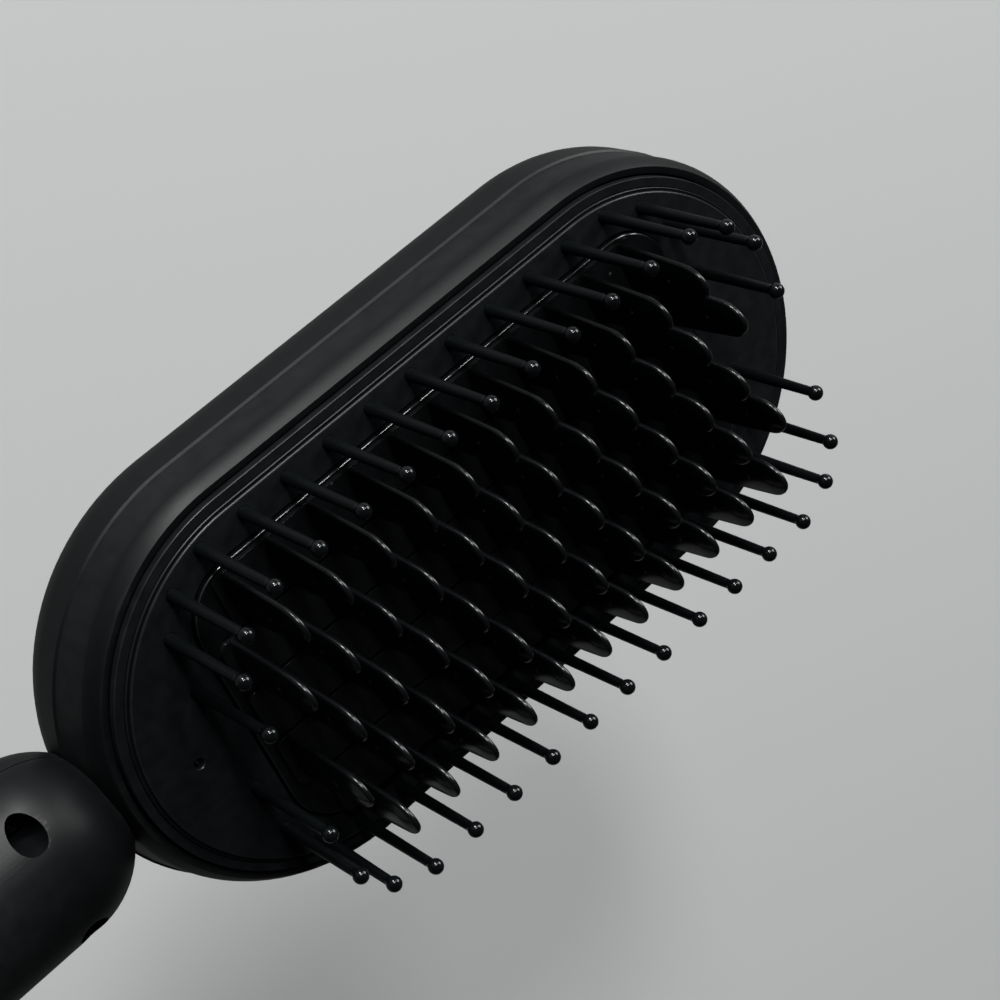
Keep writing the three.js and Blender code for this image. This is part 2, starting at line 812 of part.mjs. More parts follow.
function handleFrontShell() {
  const seat = seam + wellSeatRise;
  const wells = wellPlaces.map(([x, y]) => cylinder(wellRadius, seat, 3 * seam, x, y, holeFacets));
  const shanks = wellPlaces.map(([x, y]) =>
    cylinder(handleScrewShankRadius + gap, seam - overrun, seat + overrun, x, y),
  );
  const window = slab(panelOutline(gap), seam, seam + 2 * handleRadius, panelCentre);
  return cut(shellBlank().intersect(above(seam + gap / 2)), [...wells, ...shanks, window]);
}

const boardTop = seam + boardRise + boardThickness;
const boardFront = noseX - boardStart;
const boardScrewXs = [boardFront - boardScrewInset, boardFront - boardLength + boardScrewInset];

function handleBackShell() {
  const pilotBottom = seam + wellSeatRise - handleScrewBite - screwBite - gap;
  const pilots = wellPlaces.map(([x, y]) =>
    cylinder(handleScrewShankRadius + gap, pilotBottom, seam, x, y),
  );
  const postTop = seam + boardRise - gap;
  const midWall = capsule(handleRadius - handleWall / 2, handleEnd);
  const posts = boardScrewXs.map((x) => cylinder(bossRadius, 0, postTop, x, 0).intersect(midWall));
  const postPilots = boardScrewXs.map((x) =>
    cylinder(screwShankRadius + gap, boardTop - screwBite - boardThickness, postTop + overrun, x, 0),
  );
  const lower = shellBlank().intersect(below(seam - gap / 2));
  return cut(joined([lower, ...posts]), [...pilots, ...postPilots]);
}

// Controls

const buttonPlaces = Object.entries(buttonX).map(([name, x]) => [name, panelCentre + x]);
const displayCentre = panelCentre + displayX;
const displayOutline = (grow) =>
  roundedRectangle(displaySize[0] / 2 + grow, displaySize[1] / 2 + grow, displayCorner);
const lensSeat = panelTop - lensDepth;

// The handle's straight part at one radius.
const straightPart = (radius) => rod(radius, handleEnd, noseX, handleFacets);

function controlPanel() {
  const outerRadius = handleRadius - panelInset;
  const core = straightPart(outerRadius - panelThickness);
  const tall = (outline) => slab(outline, seam, seam + handleRadius, panelCentre);
  const face = tall(panelOutline(0)).intersect(straightPart(outerRadius));
  const flange = tall(panelOutline(panelFlange)).intersect(straightPart(innerRadius - gap));
  const thinned = straightPart(innerRadius - gap - panelFlangeThickness);
  const holes = buttonPlaces.map(([, x]) =>
    cylinder(buttonRadius + gap, seam, panelTop + overrun, x, 0, buttonFacets),
  );
  const lensRoom = slab(displayOutline(gap), lensSeat, panelTop + overrun, displayCentre, lensSteps);
  const light = slab(displayOutline(-lensLedge), seam, panelTop + overrun, displayCentre, lensSteps);
  return cut(joined([cut(face, [core]), cut(flange, [thinned])]), [...holes, lensRoom, light]);
}

function displayLens() {
  const [seat, top] = [lensSeat + gap, panelTop + overrun];
  const block = slab(displayOutline(0), seat, top, displayCentre, lensSteps);
  return block.intersect(straightPart(handleRadius - panelInset));
}

function displayModule() {
  const [length, width, height] = moduleSize;
  const floor = boardTop + gap;
  return box(
    displayCentre - length / 2,
    displayCentre + length / 2,
    -width / 2,
    width / 2,
    floor,
    floor + height,
  );
}

function controlBoard() {
  const board = box(
    boardFront - boardLength,
    boardFront,
    -boardHalfWidth,
    boardHalfWidth,
    boardTop - boardThickness,
    boardTop,
  );
  const holes = boardScrewXs.map((x) => cylinder(screwShankRadius + gap, seam, boardTop + overrun, x, 0));
  return cut(board, holes);
}

// The button's flange lies under the panel, below the panel's lowest edge over it.
const panelUnderside = handleRadius - panelInset - panelThickness;
const buttonFlangeTop =
  seam + Math.sqrt(panelUnderside ** 2 - (buttonRadius + buttonFlange) ** 2) - gap;
const buttonFlangeBottom = buttonFlangeTop - buttonFlangeThickness;
const switchTop = boardTop + gap + switchSize[2];
const plungerTop = switchTop + buttonTravel;
const plungerBottom = plungerTop - plungerLength;
const stemBottom = plungerTop + gap;

function button(x) {
  const top = panelTop + buttonStandProud;
  return upright(
    [
      [0, stemBottom],
      [buttonStemRadius, stemBottom],
      [buttonStemRadius, buttonFlangeBottom],
      [buttonRadius + buttonFlange, buttonFlangeBottom],
      [buttonRadius + buttonFlange, buttonFlangeTop],
      [buttonRadius, buttonFlangeTop],
      [buttonRadius, top - buttonDome - buttonEdge],
      [buttonRadius - buttonEdge, top - buttonDome],
      [0, top],
    ],
    buttonFacets,
    x,
    0,
  );
}

const plunger = (x) => cylinder(plungerRadius, plungerBottom, plungerTop, x, 0);

function switchBase(x) {
  const [length, width] = switchSize;
  const body = box(x - length / 2, x + length / 2, -width / 2, width / 2, boardTop + gap, switchTop);
  const bore = cylinder(plungerRadius + gap, plungerBottom - buttonTravel - gap, switchTop + overrun, x, 0);
  return cut(body, [bore]);
}

// End cap and swivel

const capStart = handleEnd - gap;
const capEnd = capStart - capLength;
const glandFlangeBack = capEnd + capWall + gap;
const glandFlangeFront = glandFlangeBack + glandFlangeThickness;
const cavityRadius = glandRadius + glandFlange + 2 * gap;

function endCap() {
  const spigot = innerRadius - gap;
  const front = capStart + spigotLength;
  return alongHandle([
    [glandRadius + gap, capEnd],
    ...roundCorner(handleRadius - capRounding, capEnd + capRounding, capRounding, -90, 0, lensSteps),
    [handleRadius, capStart],
    [spigot, capStart],
    [spigot, front],
    [cavityRadius, front],
    [cavityRadius, capEnd + capWall],
    [glandRadius + gap, capEnd + capWall],
    [glandRadius + gap, capEnd],
  ]);
}

function swivelGland() {
  const tip = capEnd - glandTail;
  return alongHandle(
    [
      [glandBore, tip],
      [glandTipRadius, tip],
      [glandRadius, capEnd - glandTail * glandStraightShare],
      [glandRadius, glandFlangeBack],
      [glandRadius + glandFlange, glandFlangeBack],
      [glandRadius + glandFlange, glandFlangeFront],
      [glandBore, glandFlangeFront],
      [glandBore, tip],
    ],
    glandFacets,
  );
}

function swivelRetainer() {
  const back = glandFlangeFront + gap;
  return alongHandle(
    [
      [retainerBore, back],
      [cavityRadius - gap, back],
      [cavityRadius - gap, back + retainerThickness],
      [retainerBore, back + retainerThickness],
      [retainerBore, back],
    ],
    glandFacets,
  );
}

// Assembly

addPiece("head_back_cover", backCover(), softBlack);
addPiece("head_front_cover", frontCover(), softBlack);
addPiece("front_frame", frontFrame(), matteBlack);
addPiece("bristle_plate", bristlePlate(), matteBlack);
addPiece("near_bristle_strip", bristleStrip(sideStripShape(), sidePins, 0), nylonBlack);
addPiece("far_bristle_strip", bristleStrip(sideStripShape(), sidePins, 180), nylonBlack);
addPiece("tip_bristle_strip", bristleStrip(endStripShape(), endPins, 0), nylonBlack);
addPiece("heel_bristle_strip", bristleStrip(endStripShape(), endPins, 180), nylonBlack);
addPiece("heater_plate", heaterPlate(), glossBlack);
[2, 1, 0, -1, -2].forEach((row, i) => addPiece(`blade_comb_${i + 1}`, bladeComb(row), glossBlack));
addPiece("heating_element", heatingElement(), ceramicWhite);
addPiece("insulation_sheet", insulationSheet(), micaTan);
addPiece("heater_clamp_plate", clampPlate(), bareAluminium);
clampScrewPlaces.forEach(([x, y], i) => {
  const screw = screwUp(x, y, clampBottom - gap, clampThickness + gap + screwBite);
  addPiece(`clamp_screw_${i + 1}`, screw, bareSteel);
});
addPiece("heater_carrier", heaterCarrier(), matteBlack);
carrierScrewPlaces.forEach(([x, y], i) => {
  const screw = screwUp(x, y, carrierBottom - gap, carrierThickness + gap + screwBite);
  addPiece(`carrier_screw_${i + 1}`, screw, bareSteel);
});
addPiece("thermal_fuse", thermalFuse(), bareSteel);
addPiece("temperature_sensor", temperatureSensor(), ceramicWhite);
addPiece("ion_emitter", ionEmitter(), bareSteel);
addPiece("ion_generator", ionGenerator(), matteBlack);
addPiece("neck_tube", neckTube(), matteBlack);
addPiece("lead_bundle", leadBundle(), rubberBlack);
addPiece("handle_front_shell", handleFrontShell(), softBlack);
addPiece("handle_back_shell", handleBackShell(), softBlack);
wellPlaces.forEach(([x, y], i) => {
  const [seat, bite] = [seam + wellSeatRise + gap, handleScrewBite + screwBite];
  const screw = screwDown(x, y, seat, bite, handleScrewShankRadius, handleScrewHeadRadius);
  addPiece(`handle_screw_${i + 1}`, screw, bareSteel);
});
addPiece("control_panel", controlPanel(), glossBlack);
addPiece("display_lens", displayLens(), glossBlack);
addPiece("display_module", displayModule(), matteBlack);
addPiece("control_board", controlBoard(), boardGreen);
boardScrewXs.forEach((x, i) => {
  const bite = boardThickness + screwBite - gap;
  const screw = screwDown(x, 0, boardTop + gap, bite, screwShankRadius, screwHeadRadius);
  addPiece(`board_screw_${i + 1}`, screw, bareSteel);
});
for (const [name, x] of buttonPlaces) {
  addPiece(`${name}_button`, button(x), softBlack);
  addPiece(`${name}_plunger`, plunger(x), nylonBlack);
  addPiece(`${name}_switch`, switchBase(x), matteBlack);
}
addPiece("end_cap", endCap(), softBlack);
addPiece("swivel_gland", swivelGland(), rubberBlack);
addPiece("swivel_retainer", swivelRetainer(), bareSteel);

export default group;
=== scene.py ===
from math import cos, exp, pi, radians, sin, sqrt, tan

import bmesh
import bpy
from mathutils import Matrix, Vector


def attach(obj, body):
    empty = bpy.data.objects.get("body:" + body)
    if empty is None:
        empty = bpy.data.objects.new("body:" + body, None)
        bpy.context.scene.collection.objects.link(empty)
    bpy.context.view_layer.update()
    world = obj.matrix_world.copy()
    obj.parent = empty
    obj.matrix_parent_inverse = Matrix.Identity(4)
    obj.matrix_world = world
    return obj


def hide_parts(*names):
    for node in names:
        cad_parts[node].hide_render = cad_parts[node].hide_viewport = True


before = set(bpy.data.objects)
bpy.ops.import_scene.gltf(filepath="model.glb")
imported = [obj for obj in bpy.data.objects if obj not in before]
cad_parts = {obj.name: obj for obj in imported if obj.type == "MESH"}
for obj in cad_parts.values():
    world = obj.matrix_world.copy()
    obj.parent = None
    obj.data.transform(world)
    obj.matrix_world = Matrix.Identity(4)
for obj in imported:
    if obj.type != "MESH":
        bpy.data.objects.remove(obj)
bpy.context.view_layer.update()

# The stage: a pale, even table top that fades into pale walls far off, and a dim room with one
# bright side and four soft lamps. The camera looks down on the bristle side from beside the handle.
TABLE_HALF = 12.0
TABLE_LEVEL = -0.12
TABLE_COLOUR = (0.455, 0.468, 0.464, 1)
# Painted shade: in reflections and in the light it bounces, the table is painted much darker than the
# camera sees it, so the brush's reflections of the table come out shaded.
TABLE_DARKENED_IN_REFLECTIONS = (0.15, 0.155, 0.154, 1)
TABLE_ROUGHNESS = 0.55
FADE_START = 0.45
FADE_END = 1.8
WALL_COLOUR = (0.47, 0.48, 0.475, 1)
ROOM_LIGHT = 0.035
WINDOW_LIGHT = 0.6
WINDOW_EDGE = 0.6
LAMP_AIM = (0, 0, 0.03)
CAMERA_PLACE = (-0.12285, 0.18701, 0.28391)

camera = bpy.data.objects.new("camera", bpy.data.cameras.new("camera"))
camera.data.sensor_width = 36
camera.data.lens = 83.10
camera_axes = Matrix((
    (0.70172603, -0.37063908, 0.60844658),
    (0.60978616, 0.75410314, -0.24390428),
    (-0.36843102, 0.54217628, 0.75518439),
))
camera.matrix_world = Matrix.Translation(CAMERA_PLACE) @ camera_axes.transposed().to_4x4()
bpy.context.collection.objects.link(camera)
bpy.context.scene.camera = camera
bpy.context.scene.view_settings.view_transform = "Standard"


def lamp(name, place, size, power):
    """A square lamp that faces the brush."""
    light = bpy.data.lights.new(name, "AREA")
    light.size = size
    light.energy = power
    holder = bpy.data.objects.new(name, light)
    holder.location = place
    holder.rotation_euler = (Vector(LAMP_AIM) - Vector(place)).to_track_quat("-Z", "Y").to_euler()
    bpy.context.collection.objects.link(holder)


lamp("window_lamp", (0.262, 2.443, 0.477), 0.5, 66)
lamp("right_window_lamp", (0.855, 1.937, 1.36), 0.36, 18)
lamp("left_window_lamp", (0.0, 2.06, 1.445), 0.36, 36)
lamp("right_softbox", (2.14, 0.9, 1.0), 1.2, 62)


def shader_node(tree, kind, sockets=None, **settings):
    """Adds a shader node, with its settings and the values of its sockets."""
    made = tree.nodes.new("ShaderNode" + kind)
    for setting, value in settings.items():
        setattr(made, setting, value)
    for socket, value in (sockets or {}).items():
        made.inputs[socket].default_value = value
    return made


def wired(tree, *wires):
    """Joins nodes, each wire given as a node and its output, then a node and its input."""
    for source, output, target, socket in wires:
        tree.links.new(source.outputs[output], target.inputs[socket])


world = bpy.data.worlds.new("studio")
bpy.context.scene.world = world
world.use_nodes = True
sky = world.node_tree
room = sky.nodes["Background"]
room.inputs["Color"].default_value = (1, 1, 1, 1)
direction = shader_node(sky, "TexCoord")
split = shader_node(sky, "SeparateXYZ")
fade = shader_node(sky, "MapRange", {
    "From Min": WINDOW_EDGE, "From Max": 1.0, "To Min": ROOM_LIGHT, "To Max": WINDOW_LIGHT,
}, interpolation_type="SMOOTHSTEP")
seen_wall = shader_node(sky, "Background", {"Color": WALL_COLOUR})
sky_path = shader_node(sky, "LightPath")
sky_choice = shader_node(sky, "MixShader")
wired(
    sky,
    (direction, "Generated", split, "Vector"),
    (split, "Y", fade, "Value"),
    (fade, "Result", room, "Strength"),
    (sky_path, "Is Camera Ray", sky_choice, 0),
    (room, 0, sky_choice, 1),
    (seen_wall, 0, sky_choice, 2),
    (sky_choice, 0, sky.nodes["World Output"], "Surface"),
)

table = bpy.data.meshes.new("table_top")
corners = [
    (sx * TABLE_HALF, sy * TABLE_HALF, TABLE_LEVEL) for sx, sy in ((-1, -1), (1, -1), (1, 1), (-1, 1))
]
table.from_pydata(corners, [], [(0, 1, 2, 3)])
table_top = bpy.data.objects.new("table_top", table)
bpy.context.collection.objects.link(table_top)
table_paint = bpy.data.materials.new("table_laminate")
table_paint.use_nodes = True
table_tree = table_paint.node_tree
table_shader = table_tree.nodes["Principled BSDF"]
table_shader.inputs["Roughness"].default_value = TABLE_ROUGHNESS
table_spot = shader_node(table_tree, "TexCoord")
table_reach = shader_node(table_tree, "VectorMath", operation="LENGTH")
far_off = shader_node(
    table_tree, "MapRange", {"From Min": FADE_START, "From Max": FADE_END}, interpolation_type="SMOOTHSTEP"
)
table_path = shader_node(table_tree, "LightPath")
# Camera rays see the table's own pale colour; every other ray sees the darker colour, a painted shade on
# the table as the brush reflects it.
table_tone = shader_node(table_tree, "Mix", {"A": TABLE_DARKENED_IN_REFLECTIONS, "B": TABLE_COLOUR}, data_type="RGBA")
seen_far = shader_node(table_tree, "Math", operation="MULTIPLY")
far_wall = shader_node(table_tree, "Emission", {"Color": WALL_COLOUR})
into_wall = shader_node(table_tree, "MixShader")
wired(
    table_tree,
    (table_spot, "Object", table_reach, 0),
    (table_reach, "Value", far_off, "Value"),
    (far_off, "Result", seen_far, 0),
    (table_path, "Is Camera Ray", seen_far, 1),
    (table_path, "Is Camera Ray", table_tone, "Factor"),
    (table_tone, "Result", table_shader, "Base Color"),
    (seen_far, 0, into_wall, 0),
    (table_shader, 0, into_wall, 1),
    (far_wall, 0, into_wall, 2),
    (into_wall, 0, table_tree.nodes["Material Output"], "Surface"),
)
table.materials.append(table_paint)

# Head back cover: the deep tub behind the heater, injection moulded in ABS with a soft-touch coat.
# Its edge is chamfered and meets the front cover's in a fine seam; the neck tube enters its end.
MM = 0.001
WELD = 1e-4
ARC_CENTRE = 34.4
SEAM = 14.0
SEAM_LINE = 0.02
SEAM_HALF_WIDTH = 34.95
SEAM_STEP = 0.36
SEAM_DROP = 0.28
BACK_HALF_WIDTH = 34.6
BACK_CORNER = 10.0
COVER_WALL = 2.4
TUB_LEAN = 1.1
NECK_BORE = 5.3
NECK_BORE_START = -72.0
EDGE_SLOPE_LOW = 0.3
EDGE_SLOPE_HIGH = 0.93


def eased(corners):
    """An outline of (width, height, radius) corners, each rounded, with a lean kept beside it."""
    points = []
    for i, (width, height, radius, *lean) in enumerate(corners):
        here = Vector((width, height))
        if radius == 0:
            points.append((*here, *lean))
            continue
        back = (Vector(corners[i - 1][:2]) - here).normalized()
        on = (Vector(corners[(i + 1) % len(corners)][:2]) - here).normalized()
        half = back.angle(on) / 2
        centre = here + (back + on).normalized() * (radius / sin(half))
        start = (here + back * (radius / tan(half)) - centre).normalized()
        end = (here + on * (radius / tan(half)) - centre).normalized()
        steps = 4 if radius < 1 else 6 if radius < 3 else 14
        points += [
            (*(centre + radius * start.slerp(end, step / steps)), *lean) for step in range(steps + 1)
        ]
    return points


def joined_rings(rings, wraps):
    """A mesh through rings of points, each ring closed unless it starts and ends on the axis."""
    mesh = bmesh.new()
    loops = [[mesh.verts.new(point) for point in ring] for ring in rings]
    for near, far in zip(loops, loops[1:] + loops[:1]):
        for j in range(len(near) if wraps else len(near) - 1):
            k = (j + 1) % len(near)
            mesh.faces.new((near[j], far[j], far[k], near[k]))
    bmesh.ops.remove_doubles(mesh, verts=mesh.verts, dist=WELD)
    return mesh


def round_head(section, steps=56):
    """A (half width, height, lean) section carried round the head's outline of two half circles."""
    rings = []
    for side in (1, -1):
        for i in range(steps + 1):
            angle = pi * (i / steps - side / 2)
            rings.append([
                (side * ARC_CENTRE + w * cos(angle) - sum(lean), w * sin(angle), z)
                for w, z, *lean in section
            ])
    return joined_rings(rings, section[0][0] > 0)


def turned(profile, facets, place):
    """A solid turned from (radius, height) points, each put in place by a function."""
    rings = []
    for i in range(facets):
        angle = 2 * pi * i / facets
        rings.append([place(r * cos(angle), r * sin(angle), h) for r, h in profile])
    return joined_rings(rings, profile[0][0] > 0)


def rod(radius, start, end, facets, place):
    """A plain round bar between two heights."""
    return turned([(0, start), (radius, start), (radius, end), (0, end)], facets, place)


def along_handle(across, up, x):
    """A point of something that is turned about the handle's axis."""
    return (x, across, up + SEAM)


def neck_hole(start, end):
    """The cutter for the hole that the neck tube passes."""
    return rod(NECK_BORE, start, end, 48, along_handle)


def loose(form):
    """A form as an object that no piece rides on yet."""
    bmesh.ops.recalc_face_normals(form, faces=form.faces)
    mesh = bpy.data.meshes.new("form")
    form.to_mesh(mesh)
    form.free()
    holder = bpy.data.objects.new("form", mesh)
    bpy.context.collection.objects.link(holder)
    return holder


def carved(blank, tool, operation="DIFFERENCE"):
    """A blank with a tool cut out of it, joined to it, or kept where both are."""
    body, cutter = loose(blank), loose(tool)
    cut = body.modifiers.new("cut", "BOOLEAN")
    cut.operation = operation
    cut.solver = "EXACT"
    cut.use_self = True
    cut.object = cutter
    seen = body.evaluated_get(bpy.context.evaluated_depsgraph_get())
    result = bmesh.new()
    result.from_mesh(seen.to_mesh())
    for holder in (body, cutter):
        mesh = holder.data
        bpy.data.objects.remove(holder)
        bpy.data.meshes.remove(mesh)
    return result


def piece(name, form, material, body="brush_body", nodes=(), crease=38, edge_finish=None):
    """Makes a form in millimetres a piece that rides on a body and stands for its solids."""
    bmesh.ops.remove_doubles(form, verts=form.verts, dist=WELD)
    bmesh.ops.dissolve_degenerate(form, edges=form.edges, dist=WELD)
    bmesh.ops.holes_fill(form, edges=[edge for edge in form.edges if edge.is_boundary])
    bmesh.ops.recalc_face_normals(form, faces=form.faces)
    bmesh.ops.scale(form, vec=(MM, MM, MM), verts=form.verts)
    mesh = bpy.data.meshes.new(name)
    form.to_mesh(mesh)
    form.free()
    mesh.shade_smooth()
    mesh.set_sharp_from_angle(angle=radians(crease))
    mesh.materials.append(material)
    if edge_finish:
        mesh.materials.append(edge_finish)
        for face in mesh.polygons:
            face.material_index = int(EDGE_SLOPE_LOW < face.normal.z < EDGE_SLOPE_HIGH)
    made = bpy.data.objects.new(name, mesh)
    bpy.context.collection.objects.link(made)
    even = made.modifiers.new("even_shading", "WEIGHTED_NORMAL")
    even.keep_sharp = True
    seen = made.evaluated_get(bpy.context.evaluated_depsgraph_get())
    shaded = bpy.data.meshes.new_from_object(seen)
    made.modifiers.clear()
    made.data = shaded
    bpy.data.meshes.remove(mesh)
    shaded.name = name
    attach(made, body)
    if nodes:
        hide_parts(*nodes)
    return made


def effect(name, inputs, outputs):
    """An empty shader node group with named sockets."""
    group = bpy.data.node_groups.new(name, "ShaderNodeTree")
    for label, kind, value in inputs:
        socket = group.interface.new_socket(name=label, in_out="INPUT", socket_type=kind)
        socket.default_value = value
    for label, kind in outputs:
        group.interface.new_socket(name=label, in_out="OUTPUT", socket_type=kind)
    return group, group.nodes.new("NodeGroupInput"), group.nodes.new("NodeGroupOutput")


COLOUR, VALUE, NORMAL = "NodeSocketColor", "NodeSocketFloat", "NodeSocketVector"

# Moulded plastic: a fine pebble grain with slow patches of tone and gloss
grain, grain_in, grain_out = effect(
    "moulded_grain",
    [
        ("Colour", COLOUR, (0.01, 0.01, 0.01, 1)),
        ("Patch Colour", COLOUR, (0.02, 0.02, 0.02, 1)),
        ("Roughness", VALUE, 0.5),
        ("Roughness Spread", VALUE, 0.1),
        ("Grains per Metre", VALUE, 3000.0),
        ("Depth", VALUE, 0.1),
    ],
    [("Colour", COLOUR), ("Roughness", VALUE), ("Normal", NORMAL)],
)
spot = shader_node(grain, "TexCoord")
patches = shader_node(grain, "TexNoise", {"Scale": 55, "Detail": 5})
pebbles = shader_node(grain, "TexNoise", {"Detail": 3, "Roughness": 0.6})
tint = shader_node(grain, "Mix", data_type="RGBA")
centred = shader_node(grain, "Math", {1: 0.5}, operation="SUBTRACT")
shift = shader_node(grain, "Math", operation="MULTIPLY_ADD")
relief = shader_node(grain, "Bump", {"Distance": 0.0001})
wired(
    grain,
    (spot, "Object", patches, "Vector"),
    (spot, "Object", pebbles, "Vector"),
    (grain_in, "Grains per Metre", pebbles, "Scale"),
    (patches, "Fac", tint, "Factor"),
    (grain_in, "Colour", tint, "A"),
    (grain_in, "Patch Colour", tint, "B"),
    (tint, "Result", grain_out, "Colour"),
    (patches, "Fac", centred, 0),
    (centred, 0, shift, 0),
    (grain_in, "Roughness Spread", shift, 1),
    (grain_in, "Roughness", shift, 2),
    (shift, 0, grain_out, "Roughness"),
    (pebbles, "Fac", relief, "Height"),
    (grain_in, "Depth", relief, "Strength"),
    (relief, "Normal", grain_out, "Normal"),
)

# Edge wear: corners that hands and the table rub a little paler
wear, wear_in, wear_out = effect("edge_wear", [("Reach", VALUE, 0.06)], [("Mask", VALUE)])
wear_spot = shader_node(wear, "TexCoord")
shape = shader_node(wear, "NewGeometry")
limit = shader_node(wear, "Math", {1: 0.5}, operation="ADD")
corner = shader_node(wear, "MapRange", {"From Min": 0.5})
scuff = shader_node(wear, "TexNoise", {"Scale": 420})
scuffed = shader_node(wear, "Math", operation="MULTIPLY")
wired(
    wear,
    (shape, "Pointiness", corner, "Value"),
    (wear_in, "Reach", limit, 0),
    (limit, 0, corner, "From Max"),
    (wear_spot, "Object", scuff, "Vector"),
    (corner, "Result", scuffed, 0),
    (scuff, "Fac", scuffed, 1),
    (scuffed, 0, wear_out, "Mask"),
)

# Dust: a few pale specks that lie on faces turned upward
dust, dust_in, dust_out = effect(
    "settled_dust", [("Specks per Metre", VALUE, 260.0), ("Amount", VALUE, 0.3)], [("Mask", VALUE)]
)
dust_spot = shader_node(dust, "TexCoord")
specks = shader_node(dust, "TexVoronoi")
size = shader_node(dust, "MapRange", {"From Min": 0.075, "From Max": 0.045})
few = shader_node(dust, "TexNoise", {"Scale": 90})
some = shader_node(dust, "MapRange", {"From Min": 0.55, "From Max": 0.65})
facing = shader_node(dust, "NewGeometry")
height = shader_node(dust, "SeparateXYZ")
upward = shader_node(dust, "MapRange", {"From Min": 0.2, "From Max": 0.8})
settled = shader_node(dust, "Math", operation="MULTIPLY")
kept = shader_node(dust, "Math", operation="MULTIPLY")
amount = shader_node(dust, "Math", operation="MULTIPLY")
wired(
    dust,
    (dust_spot, "Object", specks, "Vector"),
    (dust_in, "Specks per Metre", specks, "Scale"),
    (specks, "Distance", size, "Value"),
    (dust_spot, "Object", few, "Vector"),
    (few, "Fac", some, "Value"),
    (facing, "Normal", height, "Vector"),
    (height, "Z", upward, "Value"),
    (size, "Result", settled, 0),
    (upward, "Result", settled, 1),
    (settled, 0, kept, 0),
    (some, "Result", kept, 1),
    (kept, 0, amount, 0),
    (dust_in, "Amount", amount, 1),
    (amount, 0, dust_out, "Mask"),
)

DUST_COLOUR = (0.35, 0.34, 0.32, 1)


def plastic(
    name, colour, patch, roughness, spread, grains, depth, worn, reach=0.05, dusty=0.06, sheen=0.5
):
    """A moulded plastic with grain, paler corners and a little dust."""
    made = bpy.data.materials.new(name)
    made.use_nodes = True
    tree = made.node_tree
    shader = tree.nodes["Principled BSDF"]
    shader.inputs["Specular IOR Level"].default_value = sheen
    surface = shader_node(tree, "Group", node_tree=grain, sockets={
        "Colour": colour, "Patch Colour": patch, "Roughness": roughness, "Roughness Spread": spread,
        "Grains per Metre": grains, "Depth": depth,
    })
    rubbed = shader_node(tree, "Group", {"Reach": reach}, node_tree=wear)
    paler = shader_node(tree, "Mix", {"B": worn}, data_type="RGBA")
    specked = shader_node(tree, "Group", {"Amount": dusty}, node_tree=dust)
    dusted = shader_node(tree, "Mix", {"B": DUST_COLOUR}, data_type="RGBA")
    wired(
        tree,
        (surface, "Colour", paler, "A"),
        (rubbed, "Mask", paler, "Factor"),
        (paler, "Result", dusted, "A"),
        (specked, "Mask", dusted, "Factor"),
        (dusted, "Result", shader, "Base Color"),
        (surface, "Roughness", shader, "Roughness"),
        (surface, "Normal", shader, "Normal"),
    )
    return made


soft_touch = plastic(
    "soft_touch_coat", (0.0014, 0.0018, 0.0021, 1), (0.0022, 0.0027, 0.003, 1),
    roughness=0.43, spread=0.08, grains=5200, depth=0.12, worn=(0.008, 0.0085, 0.009, 1), sheen=0.14,
)
cover_edge = SEAM - SEAM_LINE / 2
back_cover = round_head(eased([
    (0, 0, 0, TUB_LEAN),
    (BACK_HALF_WIDTH, 0, BACK_CORNER, TUB_LEAN),
    (SEAM_HALF_WIDTH, cover_edge - SEAM_DROP, 0.06, TUB_LEAN),
    (SEAM_HALF_WIDTH - SEAM_STEP, cover_edge, 0.04, TUB_LEAN),
    (SEAM_HALF_WIDTH - COVER_WALL, cover_edge, 0.15, TUB_LEAN),
    (BACK_HALF_WIDTH - COVER_WALL, COVER_WALL, BACK_CORNER - COVER_WALL, TUB_LEAN),
    (0, COVER_WALL, 0, TUB_LEAN),
]))
piece(
    "back_cover", carved(back_cover, neck_hole(NECK_BORE_START, -ARC_CENTRE)),
    soft_touch, nodes=["head_back_cover"],
)

# Head front cover: the ring above the seam, moulded and coated like the tub. A rounded rim stands
# round the opening, and a shelf inside carries the front frame.
RIM_TOP = 22.4
RIM_ROUNDING = 1.2
RIM_CORNER = 32.92
RIM_OPENING = 31.8
BEND_START = 19.4
BEND_HALF_WIDTH = 34.25
BEND_SLOPE = 0.1
BEND_CURVE = 0.115
BEND_STEPS = 12
SHELF_TOP = 19.0
SHELF_BOTTOM = 17.5
SHELF_HALF_WIDTH = 30.0
SHELF_ROOT = 32.2

outside = [(SEAM_HALF_WIDTH - SEAM_STEP, SEAM + SEAM_LINE / 2, 0, TUB_LEAN)]
for i in range(BEND_STEPS + 1):
    rise = (RIM_TOP - BEND_START) * i / BEND_STEPS
    lean = TUB_LEAN * max(0, 1 - (BEND_START + rise - SEAM) / (RIM_TOP - RIM_ROUNDING - SEAM))
    half_width = BEND_HALF_WIDTH - BEND_SLOPE * rise - BEND_CURVE * rise ** 2
    outside.append((half_width, BEND_START + rise, 0, lean))
front_cover = round_head(eased([
    (SEAM_HALF_WIDTH - COVER_WALL, SEAM + SEAM_LINE / 2, 0, TUB_LEAN),
    *outside,
    (RIM_CORNER - 0.09, RIM_TOP + 0.02, 0, 0),
    (RIM_OPENING, RIM_TOP - 0.22, 0.08, 0),
    (RIM_OPENING, SHELF_TOP, 0.1, 0),
    (SHELF_HALF_WIDTH, SHELF_TOP, 0.1, 0),
    (SHELF_HALF_WIDTH, SHELF_BOTTOM, 0.1, 0),
    (SHELF_ROOT, SHELF_BOTTOM, 0, 0),
]))
piece(
    "front_cover", carved(front_cover, neck_hole(NECK_BORE_START, -ARC_CENTRE)),
    soft_touch, nodes=["head_front_cover"], crease=30,
)

